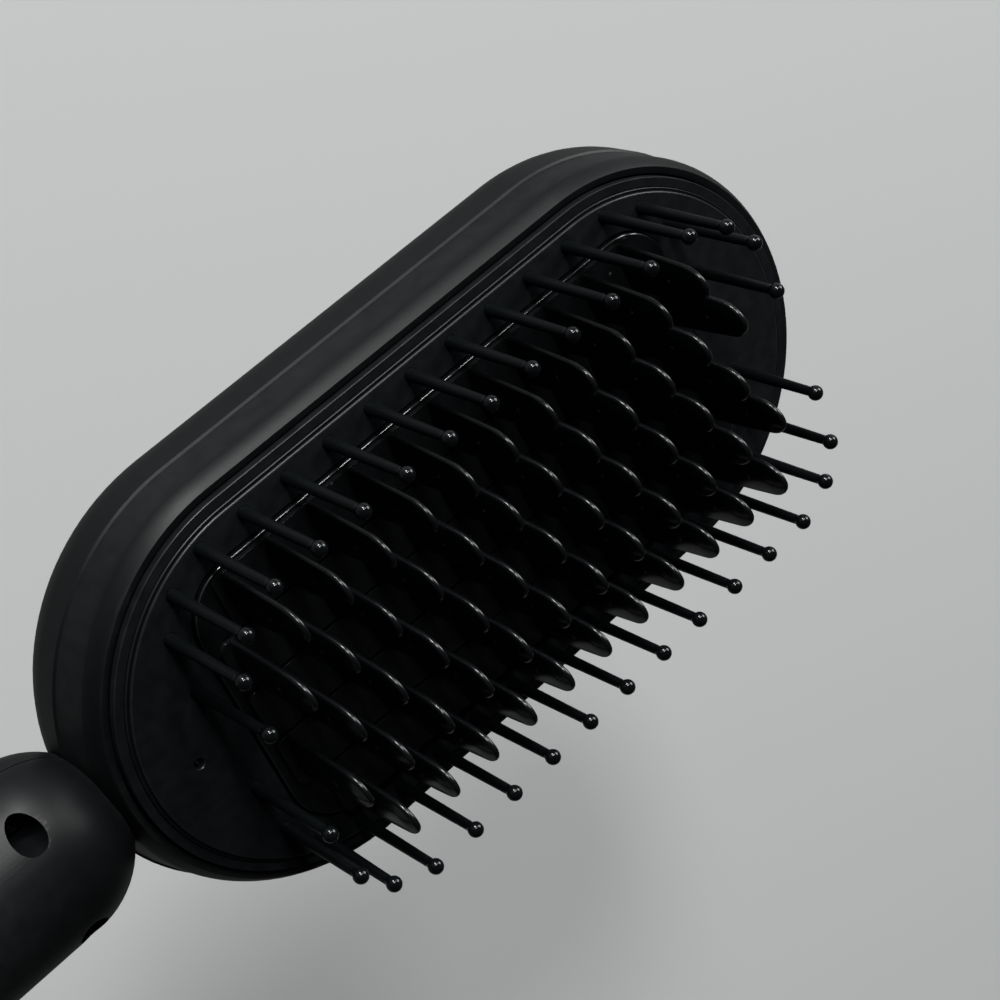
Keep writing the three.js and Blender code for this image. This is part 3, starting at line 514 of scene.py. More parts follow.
# Front frame: a stepped ring of matte plastic, snapped into the front cover. Its flat top stands
# a little above the rim, and its ledge holds the bristle plate.
FRAME_BOTTOM = 19.3
FRAME_LEDGE = 21.7
FRAME_TOP = 23.2
FRAME_INSIDE = 29.2
FRAME_STEP = 30.0
FRAME_OUTSIDE = 31.5

matte = plastic(
    "matte_plastic", (0.0018, 0.0025, 0.003, 1), (0.0028, 0.0036, 0.0042, 1),
    roughness=0.42, spread=0.06, grains=4200, depth=0.1, worn=(0.008, 0.009, 0.01, 1), sheen=0.02,
)
polished_edge = plastic(
    "polished_edge", (0.0018, 0.0025, 0.003, 1), (0.0028, 0.0036, 0.0042, 1),
    roughness=0.34, spread=0.06, grains=4200, depth=0.05, worn=(0.012, 0.013, 0.014, 1), sheen=0.22,
)
piece(
    "front_frame_ring",
    round_head([
        (FRAME_INSIDE, FRAME_BOTTOM), (FRAME_OUTSIDE, FRAME_BOTTOM), (FRAME_OUTSIDE, FRAME_TOP - 0.18),
        (FRAME_OUTSIDE - 0.14, FRAME_TOP), (FRAME_STEP + 0.04, FRAME_TOP), (FRAME_STEP, FRAME_TOP - 0.04),
        (FRAME_STEP, FRAME_LEDGE), (FRAME_INSIDE, FRAME_LEDGE),
    ]),
    matte, nodes=["front_frame"], edge_finish=polished_edge,
)

# Bristle plate: a plate of matte plastic that closes the head, with a stepped edge, round holes for
# the pins, a rounded opening for the heater and a small ion outlet. Four screws hold it from inside.
PLATE_TOP = 24.0
PLATE_BOTTOM = 22.0
PLATE_HALF_WIDTH = 29.9
PLATE_EDGE = [
    (PLATE_HALF_WIDTH, 23.46), (PLATE_HALF_WIDTH - 0.08, 23.55), (29.4, 23.55), (29.4, 23.7),
    (29.3, 23.9), (29.12, PLATE_TOP),
]
HEATER_HALF_LENGTH = 47.1
HEATER_HALF_WIDTH = 23.4
HEATER_CORNER = 8.5
HEATER_GAP = 0.3
PIN_HOLE = 1.12
PIN_PITCH = 8.0
PIN_RING = HEATER_CORNER + 3.75
END_PIN_ANGLES = (49, 19)
END_PIN_Y = 9.7
OUTLET_X = -56.0
OUTLET_BORE = 0.8
OUTLET_MOUTH = 1.0
BOSS_X = 56.5
BOSS_Y = 13.0
BOSS_BORE = 1.3
BOSS_RADIUS = 2.6


def upright_at(x, y):
    """Puts what is turned about an upright axis at a place on the brush."""
    return lambda across, up, height: (x + across, y + up, height)


def gathered(*forms):
    """Several closed forms in one mesh."""
    whole = bmesh.new()
    for form in forms:
        bmesh.ops.recalc_face_normals(form, faces=form.faces)
        mesh = bpy.data.meshes.new("form")
        form.to_mesh(mesh)
        form.free()
        whole.from_mesh(mesh)
        bpy.data.meshes.remove(mesh)
    return whole


def screw_post(start, end, x, y):
    """A round post with a bore for a screw's thread."""
    return turned(
        [(BOSS_BORE, start), (BOSS_RADIUS, start), (BOSS_RADIUS, end), (BOSS_BORE, end)], 28,
        upright_at(x, y),
    )


def four_places(x, y):
    """The same place in each quarter of the head."""
    return [(sx * x, sy * y) for sx in (1, -1) for sy in (1, -1)]


def rounded_ring(half_length, half_width, radius, z, x=0.0, steps=10):
    """The outline of a rectangle with round corners, at one height."""
    points = []
    for sx, sy, quarter in ((1, 1, 0), (-1, 1, 1), (-1, -1, 2), (1, -1, 3)):
        for i in range(steps + 1):
            angle = pi / 2 * (quarter + i / steps)
            points.append((
                x + sx * (half_length - radius) + radius * cos(angle),
                sy * (half_width - radius) + radius * sin(angle),
                z,
            ))
    return points


def lofted(rings):
    """A solid through closed rings from bottom to top, with flat ends."""
    mesh = bmesh.new()
    loops = [[mesh.verts.new(point) for point in ring] for ring in rings]
    for low, high in zip(loops, loops[1:]):
        for j in range(len(low)):
            k = (j + 1) % len(low)
            mesh.faces.new((low[j], low[k], high[k], high[j]))
    mesh.faces.new(loops[0][::-1])
    mesh.faces.new(loops[-1])
    bmesh.ops.remove_doubles(mesh, verts=mesh.verts, dist=1e-5)
    return mesh


corner_x = HEATER_HALF_LENGTH - HEATER_CORNER
corner_y = HEATER_HALF_WIDTH - HEATER_CORNER


def ring_y(x):
    """How far from the middle line the pin ring runs beside the heater."""
    return corner_y + sqrt(PIN_RING ** 2 - max(0, abs(x) - corner_x) ** 2)


side_pins = [(i * PIN_PITCH, ring_y(i * PIN_PITCH)) for i in range(-5, 6)]
end_pins = [
    (corner_x + PIN_RING * cos(radians(a)), corner_y + PIN_RING * sin(radians(a)))
    for a in END_PIN_ANGLES
] + [(corner_x + PIN_RING, END_PIN_Y)]
end_pins = [(x, side * y) for x, y in end_pins for side in (1, -1)]
all_pins = (
    side_pins + [(x, -y) for x, y in side_pins] + end_pins + [(-x, y) for x, y in end_pins]
)

plate = round_head([
    (0, PLATE_BOTTOM), (PLATE_HALF_WIDTH, PLATE_BOTTOM), *PLATE_EDGE, (0, PLATE_TOP),
])
heater_window = lofted([
    rounded_ring(
        HEATER_HALF_LENGTH + HEATER_GAP, HEATER_HALF_WIDTH + HEATER_GAP, HEATER_CORNER + HEATER_GAP, z
    )
    for z in (PLATE_BOTTOM - 1, PLATE_TOP + 1)
])
pin_holes = [
    rod(PIN_HOLE, PLATE_BOTTOM - 1, PLATE_TOP + 1, 24, upright_at(x, y)) for x, y in all_pins
]
outlet = turned([
    (0, PLATE_BOTTOM - 1), (OUTLET_BORE, PLATE_BOTTOM - 1), (OUTLET_BORE, PLATE_TOP - 0.15),
    (OUTLET_MOUTH, PLATE_TOP + 0.05), (OUTLET_MOUTH, PLATE_TOP + 1), (0, PLATE_TOP + 1),
], 28, upright_at(OUTLET_X, 0))
bosses = [screw_post(17.5, PLATE_BOTTOM + 0.5, x, y) for x, y in four_places(BOSS_X, BOSS_Y)]
plate = carved(plate, gathered(heater_window, outlet, *pin_holes))
piece(
    "bristle_plate_moulding", gathered(plate, *bosses), matte,
    nodes=["bristle_plate"], edge_finish=polished_edge,
)

# Bristle pins: satin nylon pins with polished ball tips, moulded in four strips that lie under
# the plate. Each pin comes up through its own hole in the plate.
STRIP_BOTTOM = 19.9
STRIP_TOP = 21.7
STRIP_HALF_WIDTH = 1.2
STRIP_END = 1.4
STRIP_SWEEP = 56
PIN_FOOT = [(0, 20.4), (1.0, 20.4), (1.06, 23.9), (1.03, 24.2), (0.97, 24.45)]
SHAFT_START = 24.6
SHAFT_RADIUS = 0.95
SHAFT_TAPER = 0.2
BALL_LEVEL = 42.95
BALL_RADIUS = 1.2
POLISH_START = 0.0412
POLISH_FULL = 0.0418
BALL_ROUGHNESS = 0.06
BALL_GLOSS = 0.28

nylon = plastic(
    "pin_nylon", (0.0011, 0.0016, 0.0019, 1), (0.0018, 0.0024, 0.0028, 1),
    roughness=0.36, spread=0.08, grains=3000, depth=0.05, worn=(0.0025, 0.003, 0.0034, 1),
    dusty=0.02, sheen=0.08,
)
nylon_tree = nylon.node_tree
nylon_shader = nylon_tree.nodes["Principled BSDF"]
nylon_shader.inputs["Coat Roughness"].default_value = 0.05
pin_spot = shader_node(nylon_tree, "TexCoord")
pin_height = shader_node(nylon_tree, "SeparateXYZ")
ball_mask = shader_node(nylon_tree, "MapRange", {"From Min": POLISH_START, "From Max": POLISH_FULL})
polished = shader_node(nylon_tree, "Mix", {"B": BALL_ROUGHNESS})
ball_gloss = shader_node(nylon_tree, "Math", {1: BALL_GLOSS}, operation="MULTIPLY")
nylon_tree.links.new(nylon_shader.inputs["Roughness"].links[0].from_socket, polished.inputs["A"])
wired(
    nylon_tree,
    (pin_spot, "Object", pin_height, "Vector"),
    (pin_height, "Z", ball_mask, "Value"),
    (ball_mask, "Result", polished, "Factor"),
    (polished, "Result", nylon_shader, "Roughness"),
    (ball_mask, "Result", ball_gloss, 0),
    (ball_gloss, 0, nylon_shader, "Coat Weight"),
)

waist = BALL_LEVEL - 0.94
pin_profile = PIN_FOOT + [
    (SHAFT_RADIUS - SHAFT_TAPER * i / 8, SHAFT_START + (waist - 0.5 - SHAFT_START) * i / 8)
    for i in range(9)
] + [(0.755, waist - 0.2)]
pin_profile += [
    (BALL_RADIUS * cos(radians(a)), BALL_LEVEL + BALL_RADIUS * sin(radians(a)))
    for a in range(-48, 90, 9)
] + [(0, BALL_LEVEL + BALL_RADIUS)]

strip_reach = side_pins[-1][0] + STRIP_END
bends = [-strip_reach + 2 * strip_reach * i / 40 for i in range(41)]
side_outline = [(x, ring_y(x) - STRIP_HALF_WIDTH) for x in bends]
side_outline += [(x, ring_y(x) + STRIP_HALF_WIDTH) for x in reversed(bends)]


def corner_arc(radius, side, start, end):
    """Part of an end strip's outline, about one corner of the heater."""
    return [
        (corner_x + radius * cos(a), side * corner_y + radius * sin(a))
        for a in (radians(start + (end - start) * i / 12) for i in range(13))
    ]


outer_arc = PIN_RING + STRIP_HALF_WIDTH
inner_arc = PIN_RING - STRIP_HALF_WIDTH
end_outline = (
    corner_arc(outer_arc, -1, -STRIP_SWEEP, 0) + corner_arc(outer_arc, 1, 0, STRIP_SWEEP)
    + corner_arc(inner_arc, 1, STRIP_SWEEP, 0) + corner_arc(inner_arc, -1, 0, -STRIP_SWEEP)
)
for name, outline, places, turn in [
    ("near", side_outline, side_pins, 1),
    ("far", side_outline, side_pins, -1),
    ("tip", end_outline, end_pins, 1),
    ("heel", end_outline, end_pins, -1),
]:
    strip = lofted([[(turn * x, turn * y, z) for x, y in outline] for z in (STRIP_BOTTOM, STRIP_TOP)])
    pins = [turned(pin_profile, 28, upright_at(turn * x, turn * y)) for x, y in places]
    piece(f"{name}_pins", gathered(strip, *pins), nylon, nodes=[f"{name}_bristle_strip"])

# Heater plate: cast aluminium under a glossy black ceramic coat. Its polished edge stands just
# above the bristle plate, and a flange under the plate holds it down.
FLANGE_BOTTOM = 19.9
FLANGE_TOP = 21.7
FLANGE_REACH = 1.8
HEATER_TOP = 24.8
EDGE_EASE = 0.28
POCKET_TOP = 23.2
PILOT_X = 41.0
PILOT_Y = 17.5
PILOT_TOP = 22.9

ceramic = plastic(
    "ceramic_coat", (0.0008, 0.0013, 0.0016, 1), (0.0014, 0.002, 0.0024, 1),
    roughness=0.22, spread=0.08, grains=1500, depth=0.03, worn=(0.004, 0.0042, 0.0044, 1),
    dusty=0.15, sheen=0.25,
)
ceramic_edge = plastic(
    "ceramic_edge", (0.0008, 0.0013, 0.0016, 1), (0.0014, 0.002, 0.0024, 1),
    roughness=0.16, spread=0.06, grains=1500, depth=0.02, worn=(0.02, 0.02, 0.02, 1), sheen=0.7,
)
heater_rings = [
    rounded_ring(HEATER_HALF_LENGTH, HEATER_HALF_WIDTH, HEATER_CORNER, FLANGE_BOTTOM + 0.1)
]
for i in range(5):
    angle = pi / 2 * i / 4
    inset = EDGE_EASE * (1 - cos(angle))
    heater_rings.append(rounded_ring(
        HEATER_HALF_LENGTH - inset, HEATER_HALF_WIDTH - inset, HEATER_CORNER - inset,
        HEATER_TOP - EDGE_EASE * (1 - sin(angle)),
    ))
heater_flange = lofted([
    rounded_ring(
        HEATER_HALF_LENGTH + FLANGE_REACH, HEATER_HALF_WIDTH + FLANGE_REACH,
        HEATER_CORNER + FLANGE_REACH, z,
    )
    for z in (FLANGE_BOTTOM, FLANGE_TOP)
])
pocket = lofted([rounded_ring(37, 15, 2, z) for z in (FLANGE_BOTTOM - 1, POCKET_TOP)])
screw_pilots = [
    rod(BOSS_BORE, FLANGE_BOTTOM - 1, PILOT_TOP, 16, upright_at(x, y))
    for x, y in four_places(PILOT_X, PILOT_Y)
]
heater = carved(lofted(heater_rings), heater_flange, "UNION")
piece(
    "heater_casting", carved(heater, gathered(pocket, *screw_pilots)), ceramic,
    nodes=["heater_plate"], edge_finish=ceramic_edge,
)

# Blades: thin cast leaves with a lens-shaped section and a rounded rim, in five staggered rows,
# each row on one thin base. Each leaf has a small round ejector mark on its handle side.
BLADE_PITCH = 7.88
ROW_PITCH = 9.32
COMB_BOTTOM = 25.1
COMB_TOP = 25.9
COMB_HALF_WIDTH = 4.4
SHORT_COMB = 41.8
LONG_COMB = 45.7
BLADE_ROOT = 25.5
SHOULDER = 15.9
CROWN = 3.6
RIM = 0.5
MIDDLE = 0.98
RIM_DEPTHS = [0, 0.06, 0.18, 0.34] + [RIM] * 5
FACE_SHARES = [0, 0, 0, 0, 0, 0.25, 0.5, 0.75, 1]
FOOT_FLARE = 0.22
FOOT_HEIGHT = 0.7
MARK_HEIGHT = 12.0
MARK_PROFILE = [(0, -0.3), (0.42, -0.3), (0.42, 0.0), (0.36, 0.1), (0.22, 0.17), (0, 0.2)]


def leaf_half_width(height):
    """Half width of a leaf at a height above the bristle plate, without its round crown."""
    return 4.4 - 0.0279 * height - 0.00276 * height ** 2


def leaf():
    """One leaf on the middle line, from its root in the base to its crown, with its mark."""
    stations = []
    root = BLADE_ROOT - PLATE_TOP
    for i in range(13):
        height = root + (SHOULDER - root) * i / 12
        stations.append((leaf_half_width(height), height, height))
    for i in range(1, 13):
        angle = pi / 2 * i / 12
        height = SHOULDER + CROWN * sin(angle)
        stations.append((leaf_half_width(height) * cos(angle), height, SHOULDER))
    form = bmesh.new()
    for side in (1, -1):
        for face in (1, -1):
            grid = []
            for width, height, spine in stations:
                span = sqrt(width ** 2 + (height - spine) ** 2)
                row = []
                for depth, share in zip(RIM_DEPTHS, FACE_SHARES):
                    inward = (depth + (span - RIM) * share) / span if span > RIM else share
                    edge = min(inward * span, RIM)
                    half = sqrt(RIM ** 2 - (RIM - edge) ** 2)
                    half += (MIDDLE - RIM) * (1 - (1 - share) ** 2)
                    if edge > 0:
                        flare = FOOT_FLARE * exp(-(height - root) / FOOT_HEIGHT)
                        half += flare * min(1, share * 2 + 0.3)
                    row.append(form.verts.new((
                        face * half,
                        side * width * (1 - inward),
                        PLATE_TOP + height + (spine - height) * inward,
                    )))
                grid.append(row)
            for low, high in zip(grid, grid[1:]):
                for j in range(len(low) - 1):
                    form.faces.new((low[j], low[j + 1], high[j + 1], high[j]))
    bmesh.ops.remove_doubles(form, verts=form.verts, dist=2e-3)
    bmesh.ops.holes_fill(form, edges=form.edges, sides=0)
    mark = turned(MARK_PROFILE, 16, lambda across, up, out: (
        -MIDDLE + 0.03 - out, across, PLATE_TOP + MARK_HEIGHT + up,
    ))
    return gathered(form, mark)


def repeated(form, places):
    """Copies of one form at several places, in one mesh."""
    mesh = bpy.data.meshes.new("form")
    form.to_mesh(mesh)
    form.free()
    whole = bmesh.new()
    for place in places:
        before = len(whole.verts)
        whole.from_mesh(mesh)
        whole.verts.ensure_lookup_table()
        bmesh.ops.translate(whole, vec=place, verts=whole.verts[before:])
    bpy.data.meshes.remove(mesh)
    return whole


for number, row in enumerate((2, 1, 0, -1, -2), start=1):
    count = 12 if row % 2 else 11
    half_length = SHORT_COMB if abs(row) == 2 else LONG_COMB
    xs = [(i - (count - 1) / 2) * BLADE_PITCH for i in range(count)]
    base = lofted([
        rounded_ring(half_length - inset, COMB_HALF_WIDTH - inset, 1.5, z)
        for inset, z in ((0, COMB_BOTTOM), (0, COMB_TOP - 0.02), (0.02, COMB_TOP))
    ])
    comb = gathered(base, repeated(leaf(), [(x, 0, 0) for x in xs]))
    bmesh.ops.translate(comb, vec=(0, row * ROW_PITCH, 0), verts=comb.verts)
    piece(
        f"blade_row_{number}", comb, ceramic, nodes=[f"blade_comb_{number}"],
        crease=50,
    )

# Heater stack: a ceramic element in the casting's pocket, a mica sheet and an aluminium clamp
# plate screwed up against it, all hidden in the head on a moulded carrier with the sensors. Wires
# run from there to the board, the display and the switches under the handle's panel.


def fitted(material, *nodes):
    """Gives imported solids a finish."""
    for node in nodes:
        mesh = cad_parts[node].data
        mesh.materials.clear()
        mesh.materials.append(material)


def metal(name, colour, patch, **surface):
    """A bare metal, grained and patched like the plastics but without dust."""
    made = plastic(name, colour, patch, worn=patch, dusty=0.0, **surface)
    made.node_tree.nodes["Principled BSDF"].inputs["Metallic"].default_value = 1.0
    return made


bare_ceramic = plastic(
    "bare_ceramic", (0.7, 0.67, 0.6, 1), (0.62, 0.58, 0.5, 1),
    roughness=0.55, spread=0.1, grains=900, depth=0.2, worn=(0.75, 0.73, 0.68, 1),
)
mica = plastic(
    "pressed_mica", (0.46, 0.32, 0.15, 1), (0.6, 0.46, 0.26, 1),
    roughness=0.45, spread=0.25, grains=350, depth=0.3, worn=(0.65, 0.5, 0.3, 1),
)
aluminium = metal(
    "rolled_aluminium", (0.62, 0.63, 0.64, 1), (0.72, 0.73, 0.74, 1),
    roughness=0.35, spread=0.12, grains=1200, depth=0.1,
)
steel = metal(
    "plated_steel", (0.5, 0.51, 0.53, 1), (0.62, 0.63, 0.65, 1),
    roughness=0.28, spread=0.15, grains=1800, depth=0.08,
)
wire_rubber = plastic(
    "silicone_wire", (0.012, 0.012, 0.012, 1), (0.02, 0.02, 0.02, 1),
    roughness=0.5, spread=0.1, grains=2500, depth=0.1, worn=(0.03, 0.03, 0.03, 1),
)
board_mask = plastic(
    "board_lacquer", (0.01, 0.1, 0.035, 1), (0.014, 0.14, 0.05, 1),
    roughness=0.3, spread=0.1, grains=700, depth=0.15, worn=(0.1, 0.25, 0.15, 1),
)
fitted(bare_ceramic, "heating_element", "temperature_sensor")
fitted(mica, "insulation_sheet")
fitted(aluminium, "heater_clamp_plate")
fitted(steel, "thermal_fuse", "ion_emitter", "swivel_retainer", "board_screw_1", "board_screw_2")
fitted(steel, *[f"{place}_screw_{i}" for place in ("clamp", "carrier") for i in range(1, 5)])
fitted(matte, "heater_carrier", "ion_generator", "neck_tube", "display_module")
fitted(matte, "power_switch", "temperature_up_switch", "temperature_down_switch")
fitted(nylon, "power_plunger", "temperature_up_plunger", "temperature_down_plunger")
fitted(wire_rubber, "lead_bundle")
fitted(board_mask, "control_board")

# Handle shells: two soft-touch halves that meet at mid height, with a round nose cut to seat
# against the head. Screws in two deep wells beside the head close them.
HANDLE_RADIUS = 14.0
HANDLE_WALL = 2.0
NOSE_X = -80.0
HANDLE_END = -214.0
SEAM_GAP = 0.3
SEAM_EASE = 0.35
SEAT_GAP = 0.3
WELL_X = NOSE_X - 1.0
WELL_Y = 9.65
WELL_RADIUS = 2.45
WELL_POST = 3.85
WELL_SEAT = 17.2
WELL_EASE = 0.22
SHANK_HOLE = 1.5
PANEL_X = NOSE_X - 52.0
PANEL_WINDOW = (33.3, 6.8, 6.79)
BOARD_POST_XS = (-100.7, -186.3)


def capsule(radius, rear):
    """A round bar that ends in a half ball at the handle's nose."""
    nose = [(radius * cos(radians(a)), NOSE_X + radius * sin(radians(a))) for a in range(0, 90, 5)]
    return turned(
        [(0, rear), (radius, rear)] + nose + [(0, NOSE_X + radius)], 120, along_handle
    )


def block(low, high):
    """A rectangular block between two corners."""
    form = bmesh.new()
    bmesh.ops.create_cube(form, size=1)
    bmesh.ops.scale(form, vec=Vector(high) - Vector(low), verts=form.verts)
    bmesh.ops.translate(form, vec=(Vector(high) + Vector(low)) / 2, verts=form.verts)
    return form


def softened(form, chosen, width, segments):
    """Rounds the edges that a test picks."""
    bmesh.ops.bevel(
        form, geom=[edge for edge in form.edges if chosen(edge)], offset=width, segments=segments,
        profile=0.5, affect="EDGES", clamp_overlap=True,
    )


def off_axis(vert):
    """How far a point lies from the handle's axis."""
    return sqrt(vert.co.y ** 2 + (vert.co.z - SEAM) ** 2)


def at_wells(start, end, radius, facets):
    """Two upright rods, one at each screw well."""
    return gathered(*[
        rod(radius, start, end, facets, upright_at(WELL_X, side * WELL_Y)) for side in (1, -1)
    ])


def shell_half(low, high, seam_level):
    """One half of the handle's shell, with its outer seam edge rounded."""
    slab = block((-230, -20, low), (-50, 20, high))
    half = carved(capsule(HANDLE_RADIUS, HANDLE_END), slab, "INTERSECT")
    softened(half, lambda edge: all(
        abs(v.co.z - seam_level) < 1e-3 and off_axis(v) > HANDLE_RADIUS - 0.01 for v in edge.verts
    ), SEAM_EASE, 3)
    hollow = capsule(HANDLE_RADIUS - HANDLE_WALL, HANDLE_END - 1)
    return carved(half, carved(hollow, at_wells(-1, 30, WELL_POST, 48)))


def at_well_mouth(edge):
    """Whether an edge runs round the mouth of a screw well."""
    for vert in edge.verts:
        away = sqrt((vert.co.x - WELL_X) ** 2 + (abs(vert.co.y) - WELL_Y) ** 2)
        if abs(away - WELL_RADIUS) > 0.02 or vert.co.z < WELL_SEAT + 0.5:
            return False
    return len(edge.link_faces) == 2 and edge.calc_face_angle(0) > 0.3


head_seat = round_head(eased([
    (0, -SEAT_GAP, 0, TUB_LEAN),
    (BACK_HALF_WIDTH + SEAT_GAP, -SEAT_GAP, BACK_CORNER + SEAT_GAP, TUB_LEAN),
    (SEAM_HALF_WIDTH + SEAT_GAP, SEAM, 0, TUB_LEAN),
    (34.5, RIM_TOP + SEAT_GAP, RIM_ROUNDING + SEAT_GAP, 0),
    (0, RIM_TOP + SEAT_GAP, 0, 0),
]))
seat_copy = head_seat.copy()
panel_window = lofted([rounded_ring(*PANEL_WINDOW, z, PANEL_X, 16) for z in (SEAM + 4, SEAM + 20)])
front_half = shell_half(SEAM + SEAM_GAP / 2, 40, SEAM + SEAM_GAP / 2)
front_half = carved(front_half, head_seat)
front_half = carved(front_half, gathered(panel_window, neck_hole(NOSE_X, -60)))
front_half = carved(front_half, at_wells(WELL_SEAT, 40, WELL_RADIUS, 56))
softened(front_half, at_well_mouth, WELL_EASE, 2)
piece(
    "front_shell", carved(front_half, at_wells(10, 18, SHANK_HOLE, 24)), soft_touch,
    nodes=["handle_front_shell"], crease=30,
)
back_half = carved(shell_half(-10, SEAM - SEAM_GAP / 2, SEAM - SEAM_GAP / 2), seat_copy)
back_half = carved(back_half, neck_hole(NOSE_X, -60))
back_half = carved(back_half, at_wells(7.9, 20, SHANK_HOLE, 24))
board_posts = [screw_post(1.2, 15.1, x, 0) for x in BOARD_POST_XS]
piece(
    "back_shell", gathered(back_half, *board_posts), soft_touch,
    nodes=["handle_back_shell"], crease=30,
)

# Handle screws: blackened steel pan heads with a cross recess, at the bottom of the wells.
SCREW_PROFILE = [
    (0, 8.5), (1.2, 8.5), (1.2, 17.5), (2.1, 17.5), (2.1, 18.1), (1.9, 18.5), (1.4, 18.78), (0, 18.9),
]
CROSS_FLOOR = 18.0
CROSS_REACH = 1.05
CROSS_HALF_WIDTH = 0.2

black_steel = metal(
    "blackened_steel", (0.02, 0.02, 0.021, 1), (0.03, 0.03, 0.031, 1),
    roughness=0.4, spread=0.15, grains=1800, depth=0.08,
)
for number, side in enumerate((1, -1), start=1):
    screw = turned(SCREW_PROFILE, 40, upright_at(WELL_X, side * WELL_Y))
    cross = gathered(*[
        block((WELL_X - a, side * WELL_Y - b, CROSS_FLOOR), (WELL_X + a, side * WELL_Y + b, 20))
        for a, b in ((CROSS_REACH, CROSS_HALF_WIDTH), (CROSS_HALF_WIDTH, CROSS_REACH))
    ])
    piece(
        f"well_screw_{number}", carved(screw, cross), black_steel,
        nodes=[f"handle_screw_{number}"],
    )

# Control panel: a long glossy insert in the front shell, flush with its curve and clipped under
# its edge, with a clear window over the display and three round holes for the buttons.
PANEL_TOP_RADIUS = 13.8
PANEL_BOTTOM_RADIUS = 10.2
CLIP_RADIUS = 11.7
PANEL_FACE = (33, 6.5, 6.49)
PANEL_CLIP = (34.5, 8, 7.99)
DISPLAY_X = PANEL_X + 20
DISPLAY_CORNER = 1.5
DISPLAY_SHELF = 26.0
LENS_BOTTOM = 26.3
BUTTON_XS = {"temperature_up": PANEL_X + 4, "temperature_down": PANEL_X - 10, "power": PANEL_X - 24}
BUTTON_HOLE = 4.3

gloss = plastic(
    "gloss_panel", (0.003, 0.003, 0.0034, 1), (0.0045, 0.0045, 0.005, 1),
    roughness=0.12, spread=0.06, grains=900, depth=0.015, worn=(0.01, 0.01, 0.01, 1), dusty=0.2,
)
smoked = plastic(
    "smoked_window", (0.0012, 0.0012, 0.0014, 1), (0.0016, 0.0016, 0.0018, 1),
    roughness=0.05, spread=0.03, grains=400, depth=0.01, worn=(0.004, 0.004, 0.004, 1), dusty=0.15,
)


def bent_slab(outline, radius):
    """A rounded slab kept between two cylinders about the handle's axis."""
    slab = lofted([rounded_ring(*outline, z, PANEL_X, 16) for z in (SEAM + 5, SEAM + 20)])
    kept_part = carved(slab, rod(radius, HANDLE_END, NOSE_X, 160, along_handle), "INTERSECT")
    return carved(kept_part, rod(PANEL_BOTTOM_RADIUS, HANDLE_END - 1, NOSE_X + 1, 160, along_handle))


def display_prism(half_length, half_width, low, high):
    """An upright prism over the display."""
    return lofted([
        rounded_ring(half_length, half_width, DISPLAY_CORNER, z, DISPLAY_X) for z in (low, high)
    ])


panel = carved(bent_slab(PANEL_FACE, PANEL_TOP_RADIUS), bent_slab(PANEL_CLIP, CLIP_RADIUS), "UNION")
panel_cuts = gathered(
    *[rod(BUTTON_HOLE, SEAM, 40, 48, upright_at(x, 0)) for x in BUTTON_XS.values()],
    display_prism(9.3, 4.3, DISPLAY_SHELF, 40),
    display_prism(8, 3, SEAM, DISPLAY_SHELF + 1),
)
piece(
    "panel_insert", carved(panel, panel_cuts), gloss, nodes=["control_panel"], crease=30
)
lens = carved(
    display_prism(9, 4, LENS_BOTTOM, 40),
    rod(PANEL_TOP_RADIUS, HANDLE_END, NOSE_X, 160, along_handle), "INTERSECT",
)
piece("display_window", lens, smoked, nodes=["display_lens"])

# Buttons: round satin caps with an eased edge and a shallow dish, each with a raised generic
# mark, and a flange under the panel that stops it. A plunger below presses the switch.
BUTTON_RADIUS = 4.0
BUTTON_TOP = 28.7
DISH_LEVEL = BUTTON_TOP - 0.22
MARK_BOTTOM = DISH_LEVEL - 0.1
MARK_TOP = DISH_LEVEL + 0.07
MARK_REACH = 1.2
MARK_HALF_WIDTH = 0.17
POWER_RING = (1.05, 1.35)
CAP_PROFILE = [
    (0, 20.6), (1.5, 20.6), (1.5, 22.4), (4.9, 22.4), (4.9, 23.6), (BUTTON_RADIUS, 23.6),
    (BUTTON_RADIUS, 28.1), (3.93, 28.38), (3.75, 28.58), (3.5, 28.68), (3.25, BUTTON_TOP),
    (2.95, 28.66), (2.6, 28.54), (2.2, DISH_LEVEL + 0.02), (0, DISH_LEVEL),
]

button_satin = plastic(
    "button_satin", (0.009, 0.0092, 0.0097, 1), (0.0125, 0.0127, 0.013, 1),
    roughness=0.38, spread=0.08, grains=3600, depth=0.08, worn=(0.03, 0.03, 0.03, 1),
)
mark_paint = plastic(
    "button_mark", (0.5, 0.5, 0.49, 1), (0.58, 0.58, 0.57, 1),
    roughness=0.45, spread=0.1, grains=3000, depth=0.05, worn=(0.6, 0.6, 0.6, 1),
)


def bar_mark(x, half_x, half_y):
    """One raised bar of a button's mark."""
    return block((x - half_x, -half_y, MARK_BOTTOM), (x + half_x, half_y, MARK_TOP))


def open_ring(x):
    """The open ring of the power mark, with its gap toward the head."""
    arc = bmesh.new()
    inner, outer = POWER_RING
    rings = []
    for i in range(25):
        angle = radians(90 + 35 + 290 * i / 24)
        rings.append([
            arc.verts.new((x + r * sin(angle), r * cos(angle), z))
            for r, z in ((inner, MARK_BOTTOM), (outer, MARK_BOTTOM), (outer, MARK_TOP), (inner, MARK_TOP))
        ])
    for near, far in zip(rings, rings[1:]):
        for j in range(4):
            arc.faces.new((near[j], far[j], far[(j + 1) % 4], near[(j + 1) % 4]))
    arc.faces.new(rings[0])
    arc.faces.new(rings[-1][::-1])
    return arc


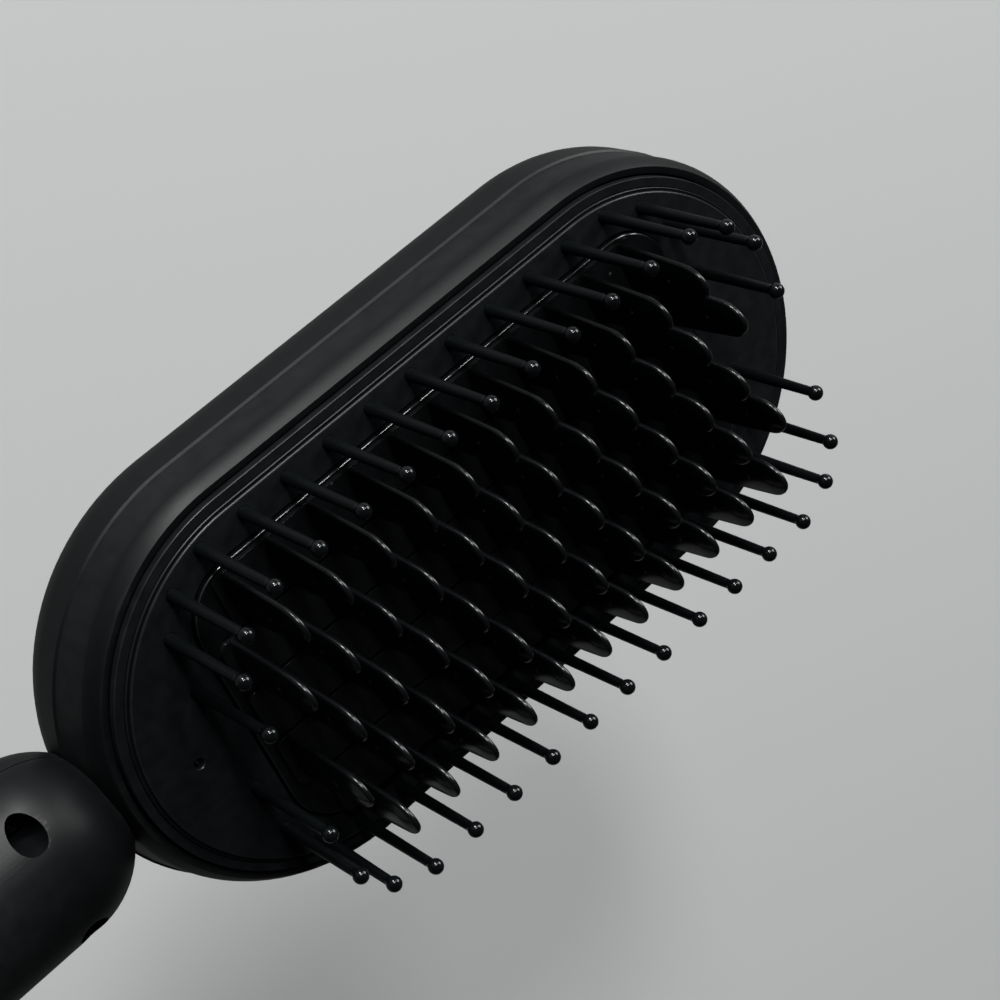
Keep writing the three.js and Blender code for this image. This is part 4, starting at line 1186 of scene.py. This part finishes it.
for name, x in BUTTON_XS.items():
    piece(
        f"{name}_cap", turned(CAP_PROFILE, 72, upright_at(x, 0)), button_satin,
        body=f"{name}_button", nodes=[f"{name}_button"], crease=45,
    )
    if name == "power":
        symbol = gathered(open_ring(x), bar_mark(x + POWER_RING[0], 0.55, 0.15))
    elif name == "temperature_up":
        symbol = gathered(
            bar_mark(x, MARK_REACH, MARK_HALF_WIDTH), bar_mark(x, MARK_HALF_WIDTH, MARK_REACH)
        )
    else:
        symbol = bar_mark(x, MARK_HALF_WIDTH, MARK_REACH)
    piece(f"{name}_mark", symbol, mark_paint, body=f"{name}_button")

# End cap: closes the handle with a spigot inside the shells, moulded and coated like them, with
# a rounded rim and a round mouth for the cord's swivel.
CAP_START = -214.3
CAP_END = -224.3
CAP_FLOOR = CAP_END + 2.5
CAP_MOUTH = 6.3
SPIGOT_END = -206.3
SPIGOT_RADIUS = 11.7
SPIGOT_BORE = 9.5

cap_outline = eased([
    (CAP_MOUTH, CAP_END, 0.3),
    (HANDLE_RADIUS, CAP_END, 2.5),
    (HANDLE_RADIUS, CAP_START, SEAM_EASE),
    (SPIGOT_RADIUS, CAP_START, 0.1),
    (SPIGOT_RADIUS, SPIGOT_END, 0.3),
    (SPIGOT_BORE, SPIGOT_END, 0.2),
    (SPIGOT_BORE, CAP_FLOOR, 0.2),
    (CAP_MOUTH, CAP_FLOOR, 0.1),
])
piece(
    "end_cap_moulding", turned(cap_outline, 120, along_handle), soft_touch,
    nodes=["end_cap"],
)

# Swivel gland: a tapered rubber sleeve that turns in the end cap, with grooves that let the
# mains lead bend. A flange inside the cap keeps it in.
GLAND_BORE = 3.2
GLAND_START = -234.3
GLAND_END = -219.5
GLAND_NECK = 6.0
FLANGE_START = -221.5
GLAND_FLANGE = 8.9
GROOVES_START = -232.9
GROOVE_PITCH = 1.7

gland_rubber = plastic(
    "gland_rubber", (0.0045, 0.0047, 0.005, 1), (0.008, 0.0082, 0.0085, 1),
    roughness=0.68, spread=0.1, grains=2600, depth=0.15, worn=(0.025, 0.025, 0.025, 1),
)
sleeve = [(GLAND_BORE, GLAND_START, 0.2), (4.4, GLAND_START, 0.4)]
for i in range(3):
    groove = GROOVES_START + GROOVE_PITCH * i
    outer = 4.5 + 0.4 * i
    sleeve += [
        (outer, groove, 0.12), (outer - 0.55, groove + 0.1, 0.1),
        (outer - 0.5, groove + 0.6, 0.1), (outer + 0.12, groove + 0.7, 0.12),
    ]
sleeve += [
    (GLAND_NECK, -227.8, 0.8), (GLAND_NECK, FLANGE_START, 0.1), (GLAND_FLANGE, FLANGE_START, 0.2),
    (GLAND_FLANGE, GLAND_END, 0.2), (GLAND_BORE, GLAND_END, 0.2),
]
piece(
    "cord_gland", turned(eased(sleeve), 96, along_handle), gland_rubber,
    body="swivel_gland", nodes=["swivel_gland"],
)
